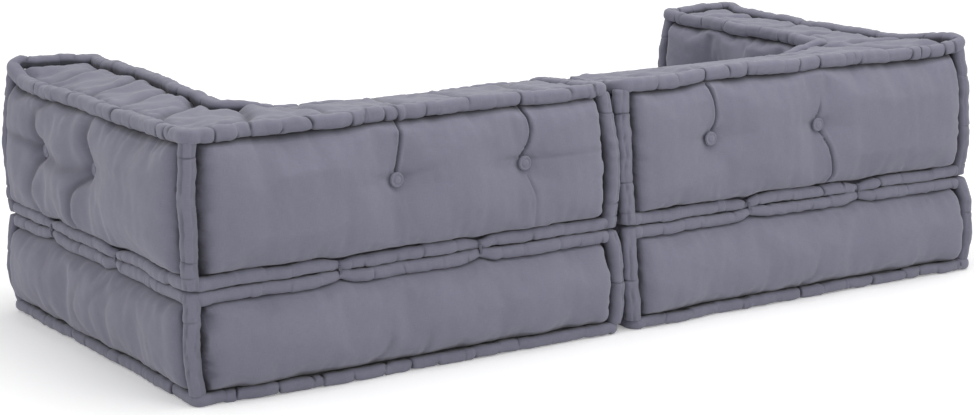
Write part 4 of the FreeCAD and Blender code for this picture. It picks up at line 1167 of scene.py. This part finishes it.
def upright_pieces(block):
    """The rolls up the outer corners: tubes on bowed lines with closed ends.

    They are pinched at some heights and grooved along the seams of the cloth.
    """
    s = block.s
    z0 = s.base + 0.0012 if block.upper else block.low + 0.004
    z1 = block.high - 0.004 if block.upper else s.base - 0.0008
    tall = z1 - z0
    parts = 2 if block.upper else 1
    corners = block.corners(z0)
    found = []
    for number, here in enumerate(corners):
        into, away = here - corners[number - 1], corners[(number + 1) % len(corners)] - here
        if into[0] * away[1] - into[1] * away[0] > 0:
            continue
        seed = block.seed + number
        rng = np.random.default_rng(seed + 71)
        cuts = z0 + tall * (np.arange(parts) + rng.uniform(0.35, 0.80, parts)) / parts
        if block.upper:
            cuts = np.append(s.base + 2 * s.roll, cuts)
        z = axis([z0, z1], ROLL_STEP, (cuts[:, None] + NOTCH_RINGS).ravel(), NEAR_RINGS)
        t = np.clip((z - z0) / tall, 0, 1)
        inward = unit(away) - unit(into)
        points = upright_line(block, number, (z0, z1), z, t, np.sign(inward))
        girth = 1 + rng.uniform(-0.07, 0.04, len(cuts) + 1)
        tip = np.clip(np.minimum(z - z0, z1 - z) / TIP, 0, 1)
        radius = s.upright * steps(z, cuts, girth, 0.003) * np.sqrt(1 - (1 - tip) ** 2)
        ring = np.repeat(radius[:, None], ROUND, 1)
        face = math.atan2(-inward[1], -inward[0])
        pinch = np.zeros(ring.shape)
        for turn, depth in GROOVES:
            groove = face + turn + 0.10 * waves(z[:, None], (0.05, 0.15), seed + 120)[:, None]
            seam = bell(turned_from(groove, THETA), 0.10) * tip[:, None]
            ring -= depth * seam
            pinch = np.maximum(pinch, 0.5 * depth * seam)
        for cut in cuts:
            depth, slant = rng.uniform(0.0012, 0.0030), rng.uniform(-0.2, 0.2)
            offset = z[:, None] - cut - slant * s.upright * np.sin(THETA)[None]
            fold = fold_round(depth, 0.2, face + rng.uniform(-1.2, 1.2))
            pinch = np.maximum(pinch, fold * np.exp(-np.abs(offset / 0.0018) ** 1.5))
            ring -= 0.3 * fold * np.exp(-np.abs(offset) / 0.01)
        ring -= pinch
        ring += 0.0006 * waves(tube_skin(z, 0.02), (0.012, 0.035), seed) * tip[:, None]
        ring[[0, -1]] = TIP_RING
        ways = np.stack([np.cos(THETA), np.sin(THETA), np.zeros(ROUND)], -1)
        places = (points[:, None] + ring[..., None] * ways[None]).reshape(-1, 3)
        places[:, 0] = np.maximum(places[:, 0], CONTACT)
        faces = closed_tube(len(z), ROUND, True)
        cloth = tube_cloth(z, s.upright)[:, ::-1]
        cloth = np.vstack([cloth, np.zeros((faces.size - len(cloth), 2))])
        # Painted shade on the roll's inward side, and in its grooves and pinches
        painted_tuck_shade = bell(turned_from(math.pi, THETA - face), 1.4)
        found.append((places, faces, cloth, np.maximum(np.clip(pinch / 0.004, 0, 1), painted_tuck_shade[None]).ravel()))
    return found


def cap_quads(ring, turned):
    """Closes a ring of an even number of points with four-cornered faces, from one side of it to the other."""
    half = len(ring) // 2
    near, far = ring[:half], ring[half:][::-1]
    strip = np.stack([near, far], 1)
    return quad_corners(strip, turned).reshape(-1, 4)


def joined(parts):
    """Several shapes as one: points, faces, cloth places and painted shade one after another."""
    points, faces, cloth, painted_shades, count = [], [], [], [], 0
    for part in parts:
        points.append(part[0])
        faces.append(part[1] + count)
        cloth.append(part[2])
        painted_shades.append(part[3])
        count += len(part[0])
    return np.vstack(points), np.vstack(faces), np.vstack(cloth), np.concatenate(painted_shades)


# Buttons and ties


def button_shape(centre, out, radius, height, seed):
    """A covered button: a turned profile from its dome over its rim to the back, with small pleats on the rim."""
    profile = np.array([
        (0.02, 0.90), (0.20, 0.89), (0.38, 0.84), (0.52, 0.72), (0.62, 0.64), (0.72, 0.72), (0.82, 0.80),
        (0.91, 0.74), (0.98, 0.55), (1.0, 0.3), (0.98, 0.12), (0.9, 0.0), (0.7, -0.12), (0.4, -0.16),
        (0.02, -0.16)])
    knots = np.linspace(0, 1, len(profile))
    profile = spread(knots, np.linspace(0, 1, 26)) @ profile
    theta = np.linspace(0, 2 * np.pi, 48, endpoint=False)
    rng = np.random.default_rng(seed)
    pleats = np.sin(theta * 11 + rng.uniform(0, 6)) * 0.5 + np.sin(theta * 17 + rng.uniform(0, 6)) * 0.5
    rim = bell(profile[:, 0] - 0.97, 0.12)
    reach = radius * profile[:, :1] * (1 + 0.018 * rim[:, None] * pleats[None])
    out = np.asarray(out, float)
    first = unit(np.cross(out, [0.0, 0.3, 1.0] if abs(out[2]) < 0.9 else [1.0, 0.2, 0.0]))
    second = np.cross(out, first)
    ways = np.cos(theta)[:, None] * first + np.sin(theta)[:, None] * second
    dome = height * profile[:, 1] + 0.0003 * waves(profile, (0.2, 0.6), seed)
    places = centre + reach[..., None] * ways[None] + (dome[:, None] * out)[:, None, :]
    faces = closed_tube(len(profile), len(theta), False)
    spots = places @ np.stack([first, second], 1)
    cloth = spots.reshape(-1, 2)[faces.ravel()]
    return places.reshape(-1, 3), faces, cloth, np.zeros(places.shape[0] * places.shape[1])


def tie_shape(centre, out):
    """Twine wound three times round both pinched rolls: a helix on a flattened loop, with a round section."""
    sides = 8
    t = np.linspace(0, 2 * np.pi * TIE_TURNS, 40 * TIE_TURNS)
    out = np.append(np.asarray(out, float), 0)
    along = np.cross([0, 0, 1.0], out)
    loop = TIE_LOOP[0] * np.cos(t)[:, None] * out + TIE_LOOP[1] * np.sin(t)[:, None] * np.array([0, 0, 1.0])
    line = centre + loop + ((t / (2 * np.pi) - TIE_TURNS / 2) * TIE_PITCH)[:, None] * along
    way = unit(np.gradient(line, axis=0))
    first = unit(loop)
    second = np.cross(way, first)
    theta = np.linspace(0, 2 * np.pi, sides, endpoint=False)
    places = (line[:, None] + WOUND_TWINE * spokes(theta, first, second)).reshape(-1, 3)
    faces = closed_tube(len(t), sides, True)
    return places, faces, np.zeros((faces.size, 2)), np.zeros(len(places))


# Materials


def nodes_of(name):
    material = bpy.data.materials.get(name) or bpy.data.materials.new(name)
    material.use_nodes = True
    tree = material.node_tree
    tree.nodes.clear()
    output = tree.nodes.new("ShaderNodeOutputMaterial")
    shader = tree.nodes.new("ShaderNodeBsdfPrincipled")
    tree.links.new(shader.outputs["BSDF"], output.inputs["Surface"])
    return material, tree, shader


def node(tree, kind, inputs=None, **values):
    made = tree.nodes.new(kind)
    for key, value in values.items():
        setattr(made, key, value)
    for key, value in (inputs or {}).items():
        if isinstance(value, bpy.types.NodeSocket):
            tree.links.new(value, made.inputs[key])
        else:
            made.inputs[key].default_value = value
    return made


def toned(colour, share):
    return tuple(min(1, part * share) for part in colour) + (1,)


def two_tone(tree, factor, dark, light, end=1.0):
    """A colour that goes from a dark to a light tone with a factor."""
    ramp = node(tree, "ShaderNodeValToRGB", {"Fac": factor})
    first, last = ramp.color_ramp.elements
    first.color, last.color = dark, light
    last.position = end
    return ramp.outputs["Color"]


def cotton_material(name, colour):
    """Plain woven cotton: slow mottling, slubbed threads both ways, painted shade and a bump of the weave."""
    material = bpy.data.materials.get(name)
    if material:
        return material
    material, tree, shader = nodes_of(name)
    space = node(tree, "ShaderNodeTexCoord").outputs["Object"]
    cloth = node(tree, "ShaderNodeUVMap", uv_map="cloth").outputs["UV"]
    mottle = node(tree, "ShaderNodeTexNoise", {"Vector": space, "Scale": 4.5, "Detail": 5.0, "Roughness": 0.6})
    threads = []
    for stretch in ((900, 60, 1), (60, 900, 1)):
        place = node(tree, "ShaderNodeMapping", {"Vector": cloth, "Scale": stretch}).outputs["Vector"]
        noise = node(tree, "ShaderNodeTexNoise", {"Vector": place, "Scale": 1.0, "Detail": 1.5})
        threads.append(noise.outputs["Fac"])
    weave = node(tree, "ShaderNodeMath", {0: threads[0], 1: threads[1]}, operation="ADD").outputs[0]
    fuzz = node(tree, "ShaderNodeTexNoise", {"Vector": space, "Scale": 260.0, "Detail": 3.0}).outputs["Fac"]
    tone = two_tone(tree, mottle.outputs["Fac"], toned(colour, 0.86), toned(colour, 1.10))
    thread_tone = mapped(tree, weave, (0.7, 1.3), (0.93, 1.06))
    # Painted shade: the crease attribute darkens the colour to 0.26 of it in creases, along sewn edges and on
    # tucked sides
    crease = node(tree, "ShaderNodeAttribute", attribute_name="crease").outputs["Fac"]
    for tint in (thread_tone, mapped(tree, crease, (0, 1), (1, 0.26))):
        tone = node(tree, "ShaderNodeVectorMath", {0: tone, "Scale": tint}, operation="SCALE").outputs["Vector"]
    tree.links.new(tone, shader.inputs["Base Color"])
    tree.links.new(mapped(tree, mottle.outputs["Fac"], (0.3, 0.7), (0.84, 0.94)), shader.inputs["Roughness"])
    shader.inputs["Specular IOR Level"].default_value = 0.25
    shader.inputs["Sheen Weight"].default_value = 0.25
    shader.inputs["Sheen Roughness"].default_value = 0.55
    bump(tree, shader, ((weave, 0.35, 0.0006), (fuzz, 0.25, 0.0008)))
    return material


def mapped(tree, value, before, after):
    """A value carried from one range to another, and held at its ends."""
    ends = dict(zip(("From Min", "From Max", "To Min", "To Max"), (*before, *after)))
    return node(tree, "ShaderNodeMapRange", {"Value": value, **ends}).outputs["Result"]


def bump(tree, shader, layers):
    """Bumps one on top of another, each a height, a strength and a distance."""
    normal = None
    for height, strength, distance in layers:
        inputs = {"Height": height, "Strength": strength, "Distance": distance}
        if normal:
            inputs["Normal"] = normal
        normal = node(tree, "ShaderNodeBump", inputs).outputs["Normal"]
    tree.links.new(normal, shader.inputs["Normal"])


def foam_material(name, colour):
    """Open-cell foam: a pale colour with fine pores."""
    material = bpy.data.materials.get(name)
    if material:
        return material
    material, tree, shader = nodes_of(name)
    space = node(tree, "ShaderNodeTexCoord").outputs["Object"]
    pores = node(tree, "ShaderNodeTexVoronoi", {"Vector": space, "Scale": 420.0}).outputs["Distance"]
    tone = two_tone(tree, pores, toned(colour, 0.7), toned(colour, 1), 0.5)
    tree.links.new(tone, shader.inputs["Base Color"])
    shader.inputs["Roughness"].default_value = 0.95
    bump(tree, shader, ((pores, 0.5, 0.001),))
    return material


def twine_material(name, colour):
    """Waxed twine: strands that wind round it as slanting bands."""
    material = bpy.data.materials.get(name)
    if material:
        return material
    material, tree, shader = nodes_of(name)
    space = node(tree, "ShaderNodeTexCoord").outputs["Object"]
    inputs = {"Vector": space, "Scale": 260.0, "Distortion": 2.0}
    bands = node(tree, "ShaderNodeTexWave", inputs, bands_direction="DIAGONAL").outputs["Fac"]
    tree.links.new(two_tone(tree, bands, toned(colour, 0.6), toned(colour, 1.3)), shader.inputs["Base Color"])
    shader.inputs["Roughness"].default_value = 0.6
    bump(tree, shader, ((bands, 0.4, 0.0005),))
    return material


def blocks(sizes):
    """The four blocks, the seat block of each module first."""
    return [Block(sizes, module, upper) for module in MODULES for upper in (False, True)]


def fitted(module, title, shape, material, nodes):
    """A piece of a module from a shape in the left module's place.

    It rides with its module and stands for its nodes of the frame.
    """
    points, faces, cloth, painted_shade = shape
    points, faces, cloth = mirrored(module, points, faces, cloth)
    piece = make_piece(f"{module}_{title}", points, faces, cloth, painted_shade, material)
    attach(piece, f"{module}_module")
    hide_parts(*[f"{module}_{name}" for name in nodes])
    return piece


class SOFA_OT_skins(bpy.types.Operator):
    """Sews and stuffs the cotton skins of the seat blocks and of the back-and-arm blocks."""

    bl_idname = "sofa.skins"
    bl_label = "Stuffed skins"

    def execute(self, context):
        cotton = cotton_material("slate_cotton", context.scene.sofa_cloth.cotton)
        for block in blocks(context.scene.sofa_sizes):
            nodes = [f"{block.kind}_cover", f"{block.kind}_wadding"]
            piece = fitted(block.module, f"{block.kind}_skin", skin_piece(block), cotton, nodes)
        return {"FINISHED"}


class SOFA_OT_level_rolls(bpy.types.Operator):
    """Makes the rolled edges round the top and bottom panels."""

    bl_idname = "sofa.level_rolls"
    bl_label = "Level rolled edges"

    def execute(self, context):
        cotton = cotton_material("slate_cotton", context.scene.sofa_cloth.cotton)
        for block in blocks(context.scene.sofa_sizes):
            for top, level in ((False, "bottom"), (True, "top")):
                name = f"{block.kind}_{level}_roll"
                piece = fitted(block.module, f"{name}_edge", roll_piece(block, top), cotton, [name])
        return {"FINISHED"}


class SOFA_OT_upright_rolls(bpy.types.Operator):
    """Makes the rolled edges up the outer corners."""

    bl_idname = "sofa.upright_rolls"
    bl_label = "Upright rolled edges"

    def execute(self, context):
        cotton = cotton_material("slate_cotton", context.scene.sofa_cloth.cotton)
        for block in blocks(context.scene.sofa_sizes):
            shape, nodes = joined(upright_pieces(block)), [f"{block.kind}_corner_rolls"]
            piece = fitted(block.module, f"{block.kind}_corner_edges", shape, cotton, nodes)
        return {"FINISHED"}


BUTTON_WAYS = {
    "rear": (0, 1, 0), "inner_back": (0, -1, 0), "outer": (1, 0, 0), "inner_arm": (-1, 0, 0),
    "top": (0, 0, 1), "bottom": (0, 0, -1)}


class SOFA_OT_buttons(bpy.types.Operator):
    """Makes the covered buttons of the tufts."""

    bl_idname = "sofa.buttons"
    bl_label = "Covered buttons"

    def execute(self, context):
        cotton = cotton_material("slate_cotton", context.scene.sofa_cloth.cotton)
        for block in blocks(context.scene.sofa_sizes):
            for panel, names in TUFT_NODES[block.upper].items():
                out = np.array(BUTTON_WAYS[panel], float)
                number = int(np.abs(out).argmax())
                for name in names:
                    shapes = []
                    for index, (centre, low, high) in enumerate(found_buttons(block, name)):
                        seat = centre.copy()
                        seat[number] = low[number] if out[number] > 0 else high[number]
                        tall, seed = high[number] - low[number], block.seed + index + len(name)
                        shapes.append(button_shape(seat, out, block.s.button, tall, seed))
                    fitted(block.module, f"{name}_cover", joined(shapes), cotton, [name])
        return {"FINISHED"}


def found_buttons(block, name):
    """The buttons of one node in the left module's place."""
    sign = 1 if block.module == "left" else -1
    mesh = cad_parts[f"{block.module}_{name}"].data
    points = np.empty(len(mesh.vertices) * 3, np.float32)
    mesh.vertices.foreach_get("co", points)
    return clusters(points.reshape(-1, 3) * [sign, 1, 1], block.s.button * 2.5)


class SOFA_OT_ties(bpy.types.Operator):
    """Winds twine round the two rolls at the waist."""

    bl_idname = "sofa.ties"
    bl_label = "Waist ties"

    def execute(self, context):
        sizes = context.scene.sofa_sizes
        twine = twine_material("waist_twine", context.scene.sofa_cloth.twine)
        for module in MODULES:
            block = Block(sizes, module, True)
            for place, name in (("rear", "rear_waist_ties"), ("outer", "side_waist_ties")):
                side = block.sides[place]
                shapes = []
                for tie in block.ties(place):
                    plan = np.zeros((1, 2))
                    plan[0, side.run] = tie
                    plan[0, 1 - side.run] = block.side_place(place, sizes.base)
                    shift = block.edge_shift(place, False, plan)[0]
                    centre = np.append(plan[0] - side.out * sizes.roll, sizes.base) + shift * [1, 1, 0]
                    shapes.append(tie_shape(centre, side.out))
                fitted(module, f"{name}_twine", joined(shapes), twine, [name])
        return {"FINISHED"}


class SOFA_OT_inner_parts(bpy.types.Operator):
    """Gives the foam cores and the tuft twine inside the blocks their materials."""

    bl_idname = "sofa.inner_parts"
    bl_label = "Cores and twine"

    def execute(self, context):
        cloth = context.scene.sofa_cloth
        foam, twine = foam_material("block_foam", cloth.foam), twine_material("waist_twine", cloth.twine)
        for name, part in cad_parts.items():
            material = foam if name.endswith("_core") else twine if name.endswith("_twine") else None
            if material:
                part.data.materials.clear()
                part.data.materials.append(material)
        return {"FINISHED"}


class SOFA_OT_stage(bpy.types.Operator):
    """Sets the pale floor, the soft light and the camera."""

    bl_idname = "sofa.stage"
    bl_label = "Floor, light and camera"

    def execute(self, context):
        scene = context.scene
        scene.view_settings.view_transform = "Standard"
        floor_stage(scene.sofa_cloth.floor)
        world = bpy.data.worlds.new("studio")
        world.use_nodes = True
        scene.world = world
        tree = world.node_tree
        tree.nodes.clear()
        output = tree.nodes.new("ShaderNodeOutputWorld")
        light = node(tree, "ShaderNodeBackground", {"Color": (1, 1, 1, 1), "Strength": SKY})
        shown = node(tree, "ShaderNodeBackground", {"Color": (1, 1, 1, 1), "Strength": 1.0})
        mix = node(tree, "ShaderNodeMixShader", {0: seen_ray(tree), 1: light.outputs[0], 2: shown.outputs[0]})
        tree.links.new(mix.outputs[0], output.inputs["Surface"])
        for lamp in LAMPS:
            area_light(*lamp)
        camera = bpy.data.objects.new("camera", bpy.data.cameras.new("camera"))
        scene.collection.objects.link(camera)
        camera.location = CAMERA_PLACE
        yaw, pitch = map(math.radians, CAMERA_TURN)
        look = Vector((-math.sin(yaw) * math.cos(pitch), -math.cos(yaw) * math.cos(pitch), -math.sin(pitch)))
        camera.rotation_euler = look.to_track_quat("-Z", "Y").to_euler()
        camera.data.sensor_width = SENSOR
        camera.data.lens = SENSOR * FOCAL_LENGTH / PHOTO_WIDTH
        scene.camera = camera
        return {"FINISHED"}


def area_light(name, place, target, size, power):
    data = bpy.data.lights.new(name, "AREA")
    data.shape = "DISK"
    data.size = size
    data.energy = power
    lamp = bpy.data.objects.new(name, data)
    bpy.context.scene.collection.objects.link(lamp)
    lamp.location = place
    lamp.rotation_euler = (Vector(target) - Vector(place)).to_track_quat("-Z", "Y").to_euler()


def seen_ray(tree):
    """1 for a ray of the camera, of a gloss or through glass, and 0 for light on the cloth."""
    path = node(tree, "ShaderNodeLightPath")
    seen = path.outputs["Is Transmission Ray"]
    for kind in ("Is Glossy Ray", "Is Camera Ray"):
        seen = node(tree, "ShaderNodeMath", {0: path.outputs[kind], 1: seen}, operation="MAXIMUM").outputs[0]
    return seen


def floor_stage(colour):
    """A wide flat floor under the sofa. It keeps the shadow, and looks white where nothing shades it."""
    places = np.linspace(-1, 1, FLOOR_LINES)
    u, v = np.meshgrid(places, places, indexing="ij")
    points = np.stack([u * FLOOR_REACH, v * FLOOR_REACH, np.zeros(u.shape)], -1).reshape(-1, 3)
    numbers = np.arange(FLOOR_LINES**2).reshape(FLOOR_LINES, -1)
    floor = make_piece("floor", points, quad_corners(numbers, False).reshape(-1, 4))
    material, tree, shader = nodes_of("studio_floor")
    space = node(tree, "ShaderNodeTexCoord").outputs["Object"]
    grain = node(tree, "ShaderNodeTexNoise", {"Vector": space, "Scale": 3.0}).outputs["Fac"]
    tree.links.new(two_tone(tree, grain, toned(colour, 0.99), toned(colour, 1)), shader.inputs["Base Color"])
    shader.inputs["Roughness"].default_value = 0.9
    shader.inputs["Specular IOR Level"].default_value = 0.1
    away = node(tree, "ShaderNodeVectorMath", {0: space}, operation="LENGTH").outputs["Value"]
    reach = mapped(tree, away, (1.0, 2.6), (0.23, 0.46))
    glow = node(tree, "ShaderNodeMath", {0: seen_ray(tree), 1: reach}, operation="MULTIPLY")
    shader.inputs["Emission Color"].default_value = (1, 1, 1, 1)
    tree.links.new(glow.outputs[0], shader.inputs["Emission Strength"])
    floor.data.materials.append(material)


class SOFA_PT_panel(bpy.types.Panel):
    """Lists the steps that dress the sofa."""

    bl_idname = "SOFA_PT_panel"
    bl_label = "Modular floor sofa"
    bl_space_type = "VIEW_3D"
    bl_region_type = "UI"
    bl_category = "Sofa"

    def draw(self, context):
        for operator in OPERATORS:
            self.layout.operator(operator.bl_idname)


OPERATORS = (
    SOFA_OT_skins,
    SOFA_OT_level_rolls,
    SOFA_OT_upright_rolls,
    SOFA_OT_buttons,
    SOFA_OT_ties,
    SOFA_OT_inner_parts,
    SOFA_OT_stage,
)
CLASSES = (SofaSizes, SofaCloth, *OPERATORS, SOFA_PT_panel)


def register():
    for kind in CLASSES:
        bpy.utils.register_class(kind)
    bpy.types.Scene.sofa_sizes = PointerProperty(type=SofaSizes)
    bpy.types.Scene.sofa_cloth = PointerProperty(type=SofaCloth)


def unregister():
    del bpy.types.Scene.sofa_cloth
    del bpy.types.Scene.sofa_sizes
    for kind in reversed(CLASSES):
        bpy.utils.unregister_class(kind)


def main():
    register()
    bpy.ops.sofa.skins()
    bpy.ops.sofa.level_rolls()
    bpy.ops.sofa.upright_rolls()
    bpy.ops.sofa.buttons()
    bpy.ops.sofa.ties()
    bpy.ops.sofa.inner_parts()
    bpy.ops.sofa.stage()


if __name__ == "__main__":
    main()
